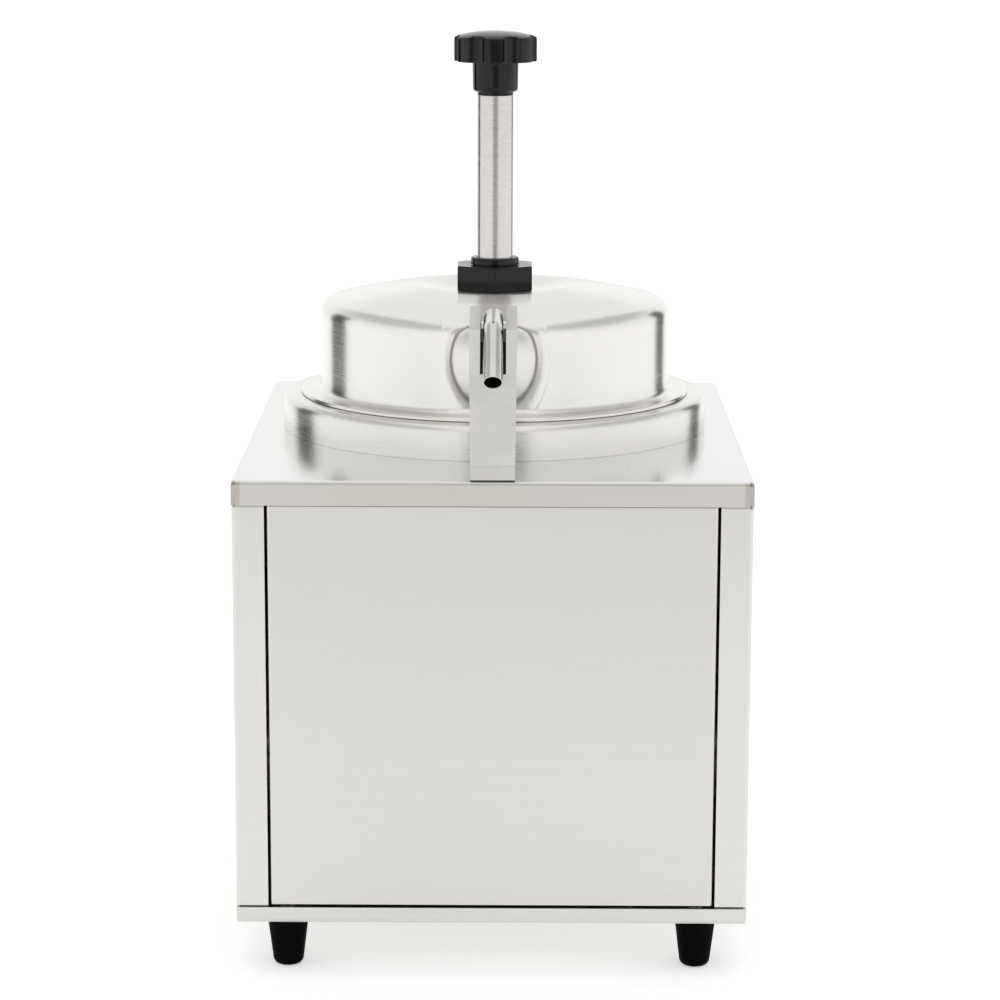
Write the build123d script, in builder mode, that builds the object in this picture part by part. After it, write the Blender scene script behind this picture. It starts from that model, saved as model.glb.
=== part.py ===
from build123d import *
from math import asin, atan2, cos, degrees, pi, radians, sin, sqrt, tan
import os

os.makedirs("parts", exist_ok=True)

# Countertop warmer for hot fudge: a heated water well in a sheet steel cabinet,
# a lift-out jar, and a lid that carries a hand pump.
# Millimetres. +Z is up, the spout points towards -Y, and the feet stand on Z = 0.

# ---------------------------------------------------------------- driving sizes
cabinet_width = 228.6
cabinet_depth = 270.0
cabinet_height = 202.2
panel_sheet = 1.2            # cabinet steel
panel_seam = 1.0             # open seam between two cabinet panels
tuck = 0.2                   # play where one sheet lies behind another

foot_height = 25.4
foot_top_diameter = 19.4
foot_tip_diameter = 12.6
foot_tip_round = 3.0
foot_inset_side = 21.8
foot_inset_front = 20.0
foot_screw_radius = 2.5
foot_screw_depth = 14.0
foot_screw_head_height = 2.4

deck_lip = 11.0              # turned-down edge of the top cover
deck_lip_corner = 1.6
deck_lip_end_gap = 0.8
base_lip = 7.4               # turned-up edge of the base pan
base_lip_corner = 2.6
side_return = 14.3           # front and rear edges of the side panels
front_panel_fold = 9.0

well_setback = 12.5          # pump axis behind the middle of the cabinet
collar_radius = 101.0
collar_height = 16.3
collar_shoulder = 4.0
collar_inner_radius = 86.6
vessel_sheet = 1.2
well_depth = 165.0           # below the deck
well_corner = 14.0
well_flange_radius = 98.0
deck_opening_radius = 90.0
collar_gasket_thickness = 1.0

jar_radius = 79.5
jar_sheet = 0.8
jar_depth = 135.0            # below the deck
jar_corner = 12.0
jar_rim_radius = 90.8
seat_gap = 0.1               # between pieces that lift off one another

lid_sheet = 1.0
lid_flange_radius = 92.5
lid_rim_drop = 1.7
lid_rim_round = 1.2
lid_flange_fillet = 3.2
hat_radius = 83.5
hat_shoulder_height = 61.0   # above the deck
hat_shoulder_radius = 6.5
hat_crest_radius = 37.0
hat_crown_bulge = 1.0        # of the crown between its shoulder and its crest
hat_crest_height = 67.2
pump_seat_radius = 27.0
pump_seat_height = 65.3
recess_ball_radius = 34.0    # round pocket where the discharge tube leaves the lid
recess_reach = 108.8         # centre of that ball, from the pump axis
recess_height = 43.0

barrel_radius = 16.0
barrel_wall = 1.7
barrel_foot = -86.0          # heights from here on are above the deck
spigot_radius = 13.2
spigot_top = 76.5
head_flange_radius = 20.0
head_flange_thickness = 4.0
lid_gasket_thickness = 1.5
thread_clearance = 0.1
running_clearance = 0.05

nut_across_flats = 35.4
nut_height = 11.6
nut_chamfer = 0.8
corner_to_front = 30
bushing_flange_radius = 11.5
bushing_flange_thickness = 3.4
bushing_body_radius = 10.6
bushing_body_depth = 11.0
bushing_edge = 0.8

plunger_radius = 8.65
plunger_wall = 1.2
plunger_top = 157.3
plunger_foot = 30.0
tube_end_chamfer = 0.4
plunger_stroke = 60.0
knob_washer_radius = 8.5
knob_washer_thickness = 1.3
hub_radius = 10.7
hub_height = 14.2
hub_edge = 1.6
knob_radius = 19.5
knob_lobes = 7
knob_turn = -92.5            # degrees, where its front lobe points
knob_groove_radius = 5.4
knob_groove_depth = 2.6
knob_height = 11.6
knob_dome = 2.8
knob_edge = 1.1
knob_under_edge = 0.6
knob_stem_length = 16.0

piston_height = 14.0
piston_play = 0.4
seal_height = 6.0
seal_depth = 2.6
seal_offset = 3.0
piston_screw_radius = 3.0
piston_screw_head_radius = 5.0
piston_screw_head_height = 3.5
piston_screw_length = 20.0
piston_socket_flats = 4.5
hexagon_sides = 6

spring_wire = 1.8
spring_mean_radius = 11.0
spring_turns = 9
spring_end_gap = 0.1
arcs_per_turn = 4

valve_spigot = 6.0
valve_bore_radius = 8.0
valve_height = 34.0
valve_edge = 2.0
inlet_ball_radius = 7.5
inlet_hole_radius = 5.0
inlet_cone_foot = -105.0
ball_seat_clearance = 0.05
inlet_ball_lift = 4.0
inlet_slots = 4
inlet_slot_width = 6.0
inlet_slot_height = 5.0

riser_reach = 26.0           # discharge tube's upright run, in front of the pump axis
outlet_boss_radius = 8.5
outlet_boss_foot = -101.0
outlet_boss_top = -76.0
outlet_boss_bridge_width = 12.0
outlet_boss_bridge_height = 12.0
outlet_port_radius = 3.0
outlet_port_height = -94.5
outlet_seat_radius = 3.2
outlet_seat_height = -90.0
outlet_bore_radius = 5.2
outlet_ball_radius = 4.6
outlet_ball_lift = 3.0
inlet_stop_radius = 1.0
outlet_stop_radius = 0.7
union_across_flats = 17.0
union_height = 5.5
tube_collar_radius = 6.4
tube_collar_height = 2.0

tube_radius = 4.35           # discharge tube
tube_wall = 0.5
tube_incline = 46.0          # degrees, where it leaves the lid
crest_reach = 97.0
crest_height = 66.0
level_height = 64.6
tube_bend_setback = 11.0     # of the tube's last bend behind the cradle's face
spout_projection = 11.0      # of the open end beyond the cradle's face
spout_height = 45.5
riser_bend = 25.0
crest_bend = 14.0
spout_bend = 16.0
grommet_radius = 7.6
grommet_thickness = 2.4

cradle_edge_gap = 0.5        # between the cradle's face and the front of the deck
cradle_foot_height = 6.8
cradle_foot_step = 0.4
cradle_foot_length = 26.0
cradle_foot_width = 19.5
cradle_flare = 0.0236        # widening per millimetre of height
cradle_face_lean = 0.9       # of its top beyond its foot
cradle_face_top_height = 46.7
cradle_corner_setback = 10.0
cradle_corner_height = 65.2
cradle_arm_length = 52.0
cradle_tail_height = 70.0
cradle_leg = 9.0
cradle_web = 6.4
cradle_inner_round = 12.0
cradle_corner_round = 1.5
cradle_slot_width = 11.2
cradle_slot_floor_gap = 0.8
cradle_open_tail = 7.0       # slot with no floor at the end of the arm
cradle_gasket_thickness = 0.6
cradle_heater_radius = 3.1
cradle_heater_length = 38.0
cradle_heater_fit = 0.1
cradle_heater_chamfer = 0.6
cradle_screw_radius = 2.0
cradle_screw_spacing = 11.0
cradle_screw_reach = 127.0
screw_hole_play = 0.25
screw_head_height = 2.0
screw_head_ratio = 1.9       # head radius over shank radius

element_ring_radius = 55.0
element_tube_radius = 4.0
element_gap_angle = 26.0
element_post_radius = 4.8
element_leg = 16.0
element_pin_radius = 1.4
element_pin_length = 5.0
clamp_plate_radius = 64.0
clamp_plate_hole_radius = 14.0
clamp_plate_thickness = 1.5
clamp_post_radius = 3.0
clamp_post_ring_radius = 34.0
clamp_posts = 3
clamp_post_tail = 7.0
clamp_nut_across_flats = 10.0
clamp_nut_height = 4.0
cutout_radius = 8.0
cutout_height = 9.0
cutout_edge = 1.0
blade_thickness = 0.8        # push-on terminals of the cut-out and the switch
blade_width = 5.0
blade_length = 8.0

rear_screw_radius = 2.0
rear_screw_rows = 3
rear_screw_length = 7.0
rear_screw_edge = 16.0
control_height = -92.0
thermostat_inset = 62.3      # of the knob from the left side, seen from behind
thermostat_body_width = 38.0
thermostat_body_height = 40.0
thermostat_body_depth = 24.0
thermostat_shaft_radius = 3.0
thermostat_bushing_radius = 5.0
dial_radius = 25.0
dial_thickness = 0.6
knob_dial_radius = 17.0
knob_dial_height = 11.6
knob_dial_gap = 1.2
knob_dial_skirt = 20.0
knob_dial_skirt_height = 2.6
knob_dial_skirt_angle = 30
knob_dial_grip_width = 9.0
knob_dial_edge = 1.2
capillary_radius = 1.0
capillary_drop = 10.0
capillary_bend = 3.2
bulb_radius = 3.2
bulb_length = 60.0
bulb_clearance = 0.2
bulb_clip_thickness = 1.0
bulb_clip_width = 9.0
bulb_clip_offset = 15.0

switch_x = -6.0
switch_width = 19.0
switch_height = 13.0
switch_depth = 17.0
switch_bezel = 2.0
switch_bezel_thickness = 1.8
rocker_width = 14.4
rocker_height = 10.4
rocker_proud = 2.6
rocker_travel = 16.0
rocker_play = 0.5
rocker_edge = 0.35
rocker_pin_radius = 0.9
rocker_pin_grip = 0.9
lamp_x = -44.0
lamp_radius = 5.0
lamp_lens_radius = 6.2
lamp_lens_proud = 3.4
lamp_lens_round = 2.8
lamp_depth = 18.0
gland_inset = 48.3
gland_rise = 31.0            # above the floor of the base pan
gland_radius = 8.0
gland_bore_radius = 3.6
gland_flange_radius = 12.0
gland_flange_thickness = 4.0
gland_chamfer = 0.8
gland_cap_radius = 10.0
gland_cap_length = 8.6
gland_cap_tip_radius = 7.0
gland_nut_across_flats = 24.0
gland_nut_thickness = 4.0
gland_tail = 9.0
terminal_inset = 50.3
terminal_setback = 96.0
terminal_length = 40.0
terminal_width = 20.0
terminal_height = 15.0
terminal_ways = 4
terminal_hole_radius = 2.4
terminal_wall_height = 5.0

# ---------------------------------------------------------------- places
deck_z = foot_height + cabinet_height
half_width = cabinet_width / 2
cradle_foot_reach = cabinet_depth / 2 + well_setback - cradle_edge_gap
cradle_face_top_reach = cradle_foot_reach + cradle_face_lean
cradle_corner_reach = cradle_foot_reach - cradle_corner_setback
cradle_tail_reach = cradle_foot_reach - cradle_arm_length
cradle_web_tail_reach = cradle_tail_reach + cradle_open_tail
level_reach = cradle_foot_reach - tube_bend_setback
spout_reach = cradle_foot_reach + spout_projection
spout_drop = atan2(level_height - spout_height, spout_reach - level_reach)
spout_lip_reach = spout_reach + tube_radius * sin(spout_drop)
front_overhang = spout_lip_reach - cabinet_depth / 2 - well_setback
rear_overhang = knob_dial_gap + knob_dial_height + dial_thickness
# the cabinet is moved so that the whole warmer is centred front to back
cabinet_y = (front_overhang - rear_overhang) / 2
front_y = cabinet_y - cabinet_depth / 2
rear_y = cabinet_y + cabinet_depth / 2
well_y = cabinet_y + well_setback
base_z = foot_height
base_floor_top = base_z + panel_sheet
thermostat_x = half_width - thermostat_inset
gland_x = gland_inset - half_width
terminal_x = terminal_inset - half_width
gland_height = base_floor_top + gland_rise - deck_z

pump_axis = Axis((0, well_y, 0), (0, 0, 1))
pump_section = Plane.XZ.offset(-well_y)
side_section = Plane.YZ


def level(height):
    """The horizontal plane at a height above the deck, centred on the pump axis."""
    return Plane((0, well_y, deck_z + height))


def flat(z):
    """A horizontal plane at an absolute height, centred on the cabinet."""
    return Plane((0, cabinet_y, z))


def ahead(reach, height):
    """A point in the middle plane: reach in front of the pump axis, height above the deck."""
    return (well_y - reach, deck_z + height)


def rear_plane(x, height, depth=0.0):
    """A plane on the rear face, looking out of it; depth moves it inwards."""
    return Plane((x, rear_y - depth, deck_z + height), x_dir=(-1, 0, 0), z_dir=(0, 1, 0))


def save(piece, name):
    piece.part.label = name
    export_step(piece.part, f"parts/{name}.step")


def hexagon(across_flats, turn=0.0):
    RegularPolygon(across_flats / 2, hexagon_sides, major_radius=False, rotation=turn)


# ---------------------------------------------------------------- feet and base
foot_x = half_width - foot_inset_side
foot_y = cabinet_depth / 2 - foot_inset_front

with BuildPart() as feet:
    with BuildSketch(flat(0)):
        with GridLocations(2 * foot_x, 2 * foot_y, 2, 2):
            Circle(foot_tip_diameter / 2)
    taper_angle = degrees(atan2((foot_top_diameter - foot_tip_diameter) / 2, foot_height))
    extrude(amount=foot_height, taper=-taper_angle)
    fillet(feet.edges().group_by(Axis.Z)[0], foot_tip_round)
    with BuildSketch(flat(foot_height)):
        with GridLocations(2 * foot_x, 2 * foot_y, 2, 2):
            Circle(foot_screw_radius + screw_hole_play)
    extrude(amount=-foot_screw_depth, mode=Mode.SUBTRACT)
save(feet, "feet")

with BuildPart() as foot_screws:
    with BuildSketch(flat(base_floor_top)):
        with GridLocations(2 * foot_x, 2 * foot_y, 2, 2):
            Circle(foot_screw_radius * screw_head_ratio)
    extrude(amount=foot_screw_head_height)
    fillet(foot_screws.edges().group_by(Axis.Z)[-1], foot_screw_head_height / 2)
    with BuildSketch(flat(base_floor_top)):
        with GridLocations(2 * foot_x, 2 * foot_y, 2, 2):
            Circle(foot_screw_radius)
    extrude(amount=-(foot_screw_depth - 2 * panel_sheet))
save(foot_screws, "foot_screws")

panel_face = panel_sheet + tuck          # how far the front panel lies behind the lips
# the pan sits inside the side panels; its front and rear lips show
base_width = cabinet_width - 2 * (panel_sheet + tuck)
with BuildPart() as base_pan:
    with BuildSketch(flat(base_z)):
        Rectangle(base_width, cabinet_depth)
    extrude(amount=base_lip)
    lower_corners = base_pan.edges().filter_by(Axis.Y).group_by(Axis.Z)[0]
    fillet(lower_corners, base_lip_corner)
    with BuildSketch(flat(base_floor_top)):
        Rectangle(base_width - 2 * panel_sheet, cabinet_depth - 2 * panel_sheet)
    extrude(amount=base_lip, mode=Mode.SUBTRACT)
    # the side lips end short of the folds of the side panels
    relief_depth = panel_face + tuck
    relief_y = cabinet_depth / 2 - panel_sheet - relief_depth / 2
    with BuildSketch(flat(base_floor_top)):
        with GridLocations(base_width, 2 * relief_y, 2, 2):
            Rectangle(2 * panel_face, relief_depth)
    extrude(amount=base_lip, mode=Mode.SUBTRACT)
    with BuildSketch(flat(base_z)):
        with GridLocations(2 * foot_x, 2 * foot_y, 2, 2):
            Circle(foot_screw_radius + screw_hole_play)
    extrude(amount=panel_sheet, mode=Mode.SUBTRACT)
save(base_pan, "base_pan")

# ---------------------------------------------------------------- side panels
return_top = deck_z - panel_sheet - tuck
return_foot = base_floor_top + tuck
side_top = deck_z - deck_lip - panel_seam
side_foot = base_z


def side_panel(side):
    """One side of the cabinet with its front and rear edges folded inwards."""
    outer_x = side * half_width
    with BuildPart() as panel:
        with BuildSketch(Plane((0, cabinet_y, side_foot))):
            with Locations((outer_x - side * panel_sheet / 2, 0)):
                Rectangle(panel_sheet, cabinet_depth - 2 * panel_face)
        extrude(amount=side_top - side_foot)
        for edge_y in (front_y + panel_face, rear_y - panel_face - panel_sheet):
            with BuildSketch(Plane((0, edge_y + panel_sheet / 2, return_foot))):
                with Locations((outer_x - side * side_return / 2, 0)):
                    Rectangle(side_return, panel_sheet)
            extrude(amount=side_top - return_foot)
            # the fold narrows and runs up behind the lip of the top cover
            with BuildSketch(Plane((0, edge_y + panel_sheet / 2, side_top))):
                with Locations((outer_x - side * (side_return / 2 + panel_face / 2), 0)):
                    Rectangle(side_return - panel_face, panel_sheet)
            extrude(amount=return_top - side_top)
    return panel


left_side = side_panel(-1)
save(left_side, "left_side_panel")
right_side = side_panel(1)
save(right_side, "right_side_panel")

# ---------------------------------------------------------------- top cover
cradle_mount_y = well_y - cradle_screw_reach
heater_lead_radius = cradle_heater_radius + screw_hole_play
cradle_heater_y = well_y - (cradle_foot_reach - cradle_leg / 2)
with BuildPart() as top_cover:
    with BuildSketch(flat(deck_z - deck_lip)):
        Rectangle(cabinet_width, cabinet_depth)
    extrude(amount=deck_lip)
    with BuildSketch(flat(deck_z - deck_lip)):
        Rectangle(cabinet_width - 2 * panel_sheet, cabinet_depth - 2 * panel_sheet)
    extrude(amount=deck_lip - panel_sheet, mode=Mode.SUBTRACT)
    # the front and rear lips end short of the side lips and have rounded corners
    notch_x = half_width - panel_sheet - deck_lip_end_gap / 2
    for face_y in (front_y, rear_y):
        with BuildSketch(flat(deck_z - deck_lip)):
            with Locations((notch_x, face_y - cabinet_y), (-notch_x, face_y - cabinet_y)):
                Rectangle(deck_lip_end_gap, 2 * panel_sheet)
        extrude(amount=deck_lip, mode=Mode.SUBTRACT)
    lip_corners = (
        top_cover.edges().filter_by(Axis.Y).group_by(Axis.Z)[0]
        .filter_by(lambda edge: abs(edge.center().X) < half_width - panel_sheet - tuck)
        .filter_by(lambda edge: edge.length < 2 * panel_sheet)
    )
    fillet(lip_corners, deck_lip_corner)
    with BuildSketch(level(-panel_sheet)):
        Circle(deck_opening_radius)
        with Locations((0, cradle_heater_y - well_y)):
            Circle(heater_lead_radius)
        with Locations((0, cradle_mount_y - well_y)):
            with GridLocations(cradle_screw_spacing, 1, 2, 1):
                Circle(cradle_screw_radius + screw_hole_play)
    extrude(amount=panel_sheet, mode=Mode.SUBTRACT)
save(top_cover, "top_cover")

# ---------------------------------------------------------------- front and rear panels
front_panel_width = cabinet_width - 2 * (side_return + panel_seam)
front_panel_foot = base_z + base_lip + panel_seam
with BuildPart() as front_panel:
    with BuildSketch(Plane((0, front_y + panel_face + front_panel_fold / 2, front_panel_foot))):
        Rectangle(front_panel_width, front_panel_fold)
    extrude(amount=return_top - front_panel_foot)
    inner_width = front_panel_width - 2 * panel_sheet
    with BuildSketch(Plane((0, front_y + panel_face + panel_sheet + front_panel_fold / 2,
                            front_panel_foot + panel_sheet))):
        Rectangle(inner_width, front_panel_fold)
    extrude(amount=return_top, mode=Mode.SUBTRACT)
save(front_panel, "front_panel")

rear_panel_width = cabinet_width - 2 * (panel_sheet + tuck)
rear_panel_foot = base_z + base_lip + panel_seam
rear_panel_height = side_top - rear_panel_foot
rear_screw_x = rear_panel_width / 2 - side_return / 2
rear_screw_middle = rear_panel_foot + rear_panel_height / 2 - deck_z
rear_screw_pitch = (rear_panel_height - 2 * rear_screw_edge) / (rear_screw_rows - 1)
with BuildPart() as rear_panel:
    with BuildSketch(rear_plane(0, rear_screw_middle)):
        Rectangle(rear_panel_width, rear_panel_height)
        with GridLocations(2 * rear_screw_x, rear_screw_pitch, 2, rear_screw_rows):
            Circle(rear_screw_radius + screw_hole_play, mode=Mode.SUBTRACT)
    extrude(amount=-panel_sheet)
    with BuildSketch(rear_plane(0, control_height)):
        with Locations((-thermostat_x, 0)):
            Circle(thermostat_bushing_radius + screw_hole_play)
        with Locations((-switch_x, 0)):
            Rectangle(switch_width + 2 * screw_hole_play, switch_height + 2 * screw_hole_play)
        with Locations((-lamp_x, 0)):
            Circle(lamp_radius + screw_hole_play)
        with Locations((-gland_x, gland_height - control_height)):
            Circle(gland_radius + screw_hole_play)
    extrude(amount=-panel_sheet, mode=Mode.SUBTRACT)
save(rear_panel, "rear_panel")

for side_name, side in (("left", left_side), ("right", right_side)):
    with BuildPart() as drilled:
        add(side.part)
        with BuildSketch(rear_plane(0, rear_screw_middle, panel_face)):
            with GridLocations(2 * rear_screw_x, rear_screw_pitch, 2, rear_screw_rows):
                Circle(rear_screw_radius + thread_clearance)
        extrude(amount=-panel_sheet, mode=Mode.SUBTRACT)
    save(drilled, f"{side_name}_side_panel")

with BuildPart() as rear_screws:
    with BuildSketch(rear_plane(0, rear_screw_middle)):
        with GridLocations(2 * rear_screw_x, rear_screw_pitch, 2, rear_screw_rows):
            Circle(rear_screw_radius * screw_head_ratio)
    extrude(amount=screw_head_height)
    fillet(rear_screws.edges().group_by(Axis.Y)[-1], screw_head_height / 2)
    with BuildSketch(rear_plane(0, rear_screw_middle)):
        with GridLocations(2 * rear_screw_x, rear_screw_pitch, 2, rear_screw_rows):
            Circle(rear_screw_radius)
    extrude(amount=-rear_screw_length)
save(rear_screws, "rear_panel_screws")

# ---------------------------------------------------------------- well, collar and gasket
with BuildPart() as collar_gasket:
    with BuildSketch(level(0)):
        Circle(well_flange_radius)
        Circle(deck_opening_radius, mode=Mode.SUBTRACT)
    extrude(amount=collar_gasket_thickness)
save(collar_gasket, "well_gasket")



def cup_section(radius, foot, top, corner):
    """Half section of a solid round cup whose foot has a rounded corner."""
    foot_z = deck_z + foot
    with BuildSketch(pump_section) as section:
        with BuildLine():
            Line((0, foot_z), (radius - corner, foot_z))
            CenterArc((radius - corner, foot_z + corner), corner, 270, 90)
            Polyline((radius, foot_z + corner), (radius, deck_z + top), (0, deck_z + top), (0, foot_z))
        make_face()
    return section.sketch


well_inner_radius = collar_inner_radius
well_outer_radius = well_inner_radius + vessel_sheet
well_flange_top = collar_gasket_thickness + vessel_sheet
with BuildPart() as water_well:
    revolve(cup_section(well_outer_radius, -well_depth, well_flange_top, well_corner),
            axis=pump_axis)
    with BuildSketch(level(collar_gasket_thickness)):
        Circle(well_flange_radius)
    extrude(amount=vessel_sheet)
    water_space = cup_section(
        well_inner_radius, -well_depth + vessel_sheet, collar_height, well_corner - vessel_sheet)
    revolve(water_space, axis=pump_axis, mode=Mode.SUBTRACT)
    with BuildSketch(level(-well_depth)):
        with PolarLocations(clamp_post_ring_radius, clamp_posts):
            Circle(clamp_post_radius)
    clamp_post_length = 2 * element_tube_radius + clamp_plate_thickness + clamp_post_tail
    extrude(amount=-clamp_post_length)
save(water_well, "water_well")


def collar_section(inset):
    """Half section of the collar's outside, or of its hollow when inset by the sheet."""
    edge = collar_radius - inset
    top = deck_z + collar_height - inset
    shoulder = collar_shoulder - inset
    with BuildSketch(pump_section) as section:
        with BuildLine():
            Polyline((0, deck_z), (edge, deck_z), (edge, top - shoulder))
            CenterArc((edge - shoulder, top - shoulder), shoulder, 0, 90)
            Polyline((edge - shoulder, top), (0, top), (0, deck_z))
        make_face()
    return section.sketch


with BuildPart() as well_collar:
    revolve(collar_section(0), axis=pump_axis)
    revolve(collar_section(vessel_sheet), axis=pump_axis, mode=Mode.SUBTRACT)
    # inner skirt, which stands on the flange of the well
    skirt_foot = well_flange_top + seat_gap
    with BuildSketch(level(skirt_foot)):
        Circle(collar_inner_radius + vessel_sheet)
    extrude(amount=collar_height - skirt_foot)
    with BuildSketch(level(0)):
        Circle(collar_inner_radius)
    extrude(amount=collar_height, mode=Mode.SUBTRACT)
save(well_collar, "well_collar")

# ---------------------------------------------------------------- well heater
element_height = -well_depth - element_tube_radius
element_arc = 360 - 2 * element_gap_angle
element_turn = 90 + element_gap_angle
element_ends = [
    (element_ring_radius * cos(radians(90 + side * element_gap_angle)),
     element_ring_radius * sin(radians(90 + side * element_gap_angle)))
    for side in (-1, 1)
]
with BuildPart() as well_heater:
    start_plane = Plane(
        (element_ends[1][0], well_y + element_ends[1][1], deck_z + element_height),
        x_dir=(cos(radians(element_turn)), sin(radians(element_turn)), 0),
        z_dir=(-sin(radians(element_turn)), cos(radians(element_turn)), 0),
    )
    with BuildSketch(start_plane):
        Circle(element_tube_radius)
    revolve(axis=pump_axis, revolution_arc=element_arc)
    # the two ends run into upright posts that carry the terminals
    with BuildSketch(level(-well_depth - seat_gap)):
        with Locations(*element_ends):
            Circle(element_post_radius)
    extrude(amount=-element_leg)
    with BuildSketch(level(-well_depth - element_leg)):
        with Locations(*element_ends):
            Circle(element_pin_radius)
    extrude(amount=-element_pin_length)
save(well_heater, "well_heater")

clamp_plate_top = -well_depth - 2 * element_tube_radius
with BuildPart() as clamp_plate:
    with BuildSketch(level(clamp_plate_top)):
        Circle(clamp_plate_radius)
        Circle(clamp_plate_hole_radius, mode=Mode.SUBTRACT)
        with PolarLocations(clamp_post_ring_radius, clamp_posts):
            Circle(clamp_post_radius + screw_hole_play, mode=Mode.SUBTRACT)
        with Locations(*element_ends):
            Circle(element_post_radius + screw_hole_play, mode=Mode.SUBTRACT)
    extrude(amount=-clamp_plate_thickness)
save(clamp_plate, "heater_clamp_plate")

with BuildPart() as clamp_nuts:
    with BuildSketch(level(clamp_plate_top - clamp_plate_thickness)):
        with PolarLocations(clamp_post_ring_radius, clamp_posts):
            hexagon(clamp_nut_across_flats)
            Circle(clamp_post_radius + running_clearance, mode=Mode.SUBTRACT)
    extrude(amount=-clamp_nut_height)
save(clamp_nuts, "heater_clamp_nuts")

with BuildPart() as high_limit:
    with BuildSketch(level(-well_depth)):
        Circle(cutout_radius)
    extrude(amount=-cutout_height)
    fillet(high_limit.edges().group_by(Axis.Z)[0], cutout_edge)
    with BuildSketch(level(-well_depth - cutout_height)):
        with GridLocations(cutout_radius, 1, 2, 1):
            Rectangle(blade_thickness, blade_width)
    extrude(amount=-blade_length)
save(high_limit, "high_limit_cutout")

# ---------------------------------------------------------------- jar
jar_rim_foot = collar_height + seat_gap
jar_rim_top = jar_rim_foot + jar_sheet
with BuildPart() as jar:
    revolve(cup_section(jar_radius, -jar_depth, jar_rim_top, jar_corner),
            axis=pump_axis)
    with BuildSketch(level(jar_rim_foot)):
        Circle(jar_rim_radius)
    extrude(amount=jar_sheet)
    topping_space = cup_section(
        jar_radius - jar_sheet, -jar_depth + jar_sheet, 2 * jar_rim_top, jar_corner - jar_sheet)
    revolve(topping_space, axis=pump_axis, mode=Mode.SUBTRACT)
save(jar, "jar")

# ---------------------------------------------------------------- lid
flange_foot = jar_rim_top + seat_gap
flange_top = flange_foot + lid_sheet


def hat_section(inset):
    """Half section under the lid's outside, or under its inside when inset by the sheet."""
    foot = deck_z + flange_top - lid_rim_drop - inset
    flange_z = deck_z + flange_top - inset
    wall = hat_radius - inset
    corner = lid_flange_fillet + inset
    shoulder = hat_shoulder_radius - inset
    shoulder_z = deck_z + hat_shoulder_height - hat_shoulder_radius
    crown_edge = (wall - shoulder, shoulder_z + shoulder)
    crest = (hat_crest_radius, deck_z + hat_crest_height - inset)
    crown_middle = (
        (crown_edge[0] + crest[0]) / 2,
        (crown_edge[1] + crest[1]) / 2 + hat_crown_bulge,
    )
    seat_z = deck_z + pump_seat_height - inset
    rim = lid_flange_radius - inset
    rim_round = lid_rim_round - inset
    with BuildSketch(pump_section) as section:
        with BuildLine():
            Polyline((0, foot), (rim, foot), (rim, flange_z - rim_round))
            CenterArc((rim - rim_round, flange_z - rim_round), rim_round, 0, 90)
            Line((rim - rim_round, flange_z), (wall + corner, flange_z))
            CenterArc((wall + corner, flange_z + corner), corner, 270, -90)
            Line((wall, flange_z + corner), (wall, shoulder_z))
            CenterArc((wall - shoulder, shoulder_z), shoulder, 0, 90)
            # gently domed crown, with a flat seat pressed in for the pump
            ThreePointArc(crown_edge, crown_middle, crest)
            Polyline(crest, (pump_seat_radius, seat_z), (0, seat_z), (0, foot))
        make_face()
    return section.sketch


recess_centre = (0, well_y - recess_reach, deck_z + recess_height)


def recess_tool(inset):
    """Ball that presses the pocket into the lid; it stops at the flange."""
    with BuildPart() as tool:
        with Locations(recess_centre):
            Sphere(recess_ball_radius + inset)
        split(bisect_by=level(flange_top - inset), keep=Keep.TOP)
    return tool.part


with BuildPart() as lid_hollow:
    revolve(hat_section(lid_sheet), axis=pump_axis)
    add(recess_tool(lid_sheet), mode=Mode.SUBTRACT)

tube_path_points = [
    ahead(riser_reach, outlet_boss_top),
    ahead(riser_reach, crest_height - (crest_reach - riser_reach) * tan(radians(tube_incline))),
    ahead(crest_reach, crest_height),
    ahead(level_reach, level_height),
    ahead(spout_reach, spout_height),
]
incline_plane = Plane(
    (0, *ahead(crest_reach, crest_height)),
    x_dir=(1, 0, 0),
    z_dir=(0, -cos(radians(tube_incline)), sin(radians(tube_incline))),
)
with BuildPart() as lid:
    revolve(hat_section(0), axis=pump_axis)
    add(recess_tool(0), mode=Mode.SUBTRACT)
    add(lid_hollow.part, mode=Mode.SUBTRACT)
    with BuildSketch(level(0)):
        Circle(spigot_radius + screw_hole_play)
    extrude(amount=hat_crest_height, mode=Mode.SUBTRACT)
    with BuildSketch(incline_plane):
        Circle(tube_radius + screw_hole_play)
    extrude(amount=-crest_reach, mode=Mode.SUBTRACT)
save(lid, "lid")

# ---------------------------------------------------------------- pump barrel and lock nut
gasket_top = pump_seat_height - lid_sheet
gasket_foot = gasket_top - lid_gasket_thickness
with BuildPart() as lid_gasket:
    with BuildSketch(level(gasket_foot)):
        Circle(head_flange_radius)
        Circle(spigot_radius + screw_hole_play, mode=Mode.SUBTRACT)
    extrude(amount=lid_gasket_thickness)
save(lid_gasket, "pump_gasket")

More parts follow.
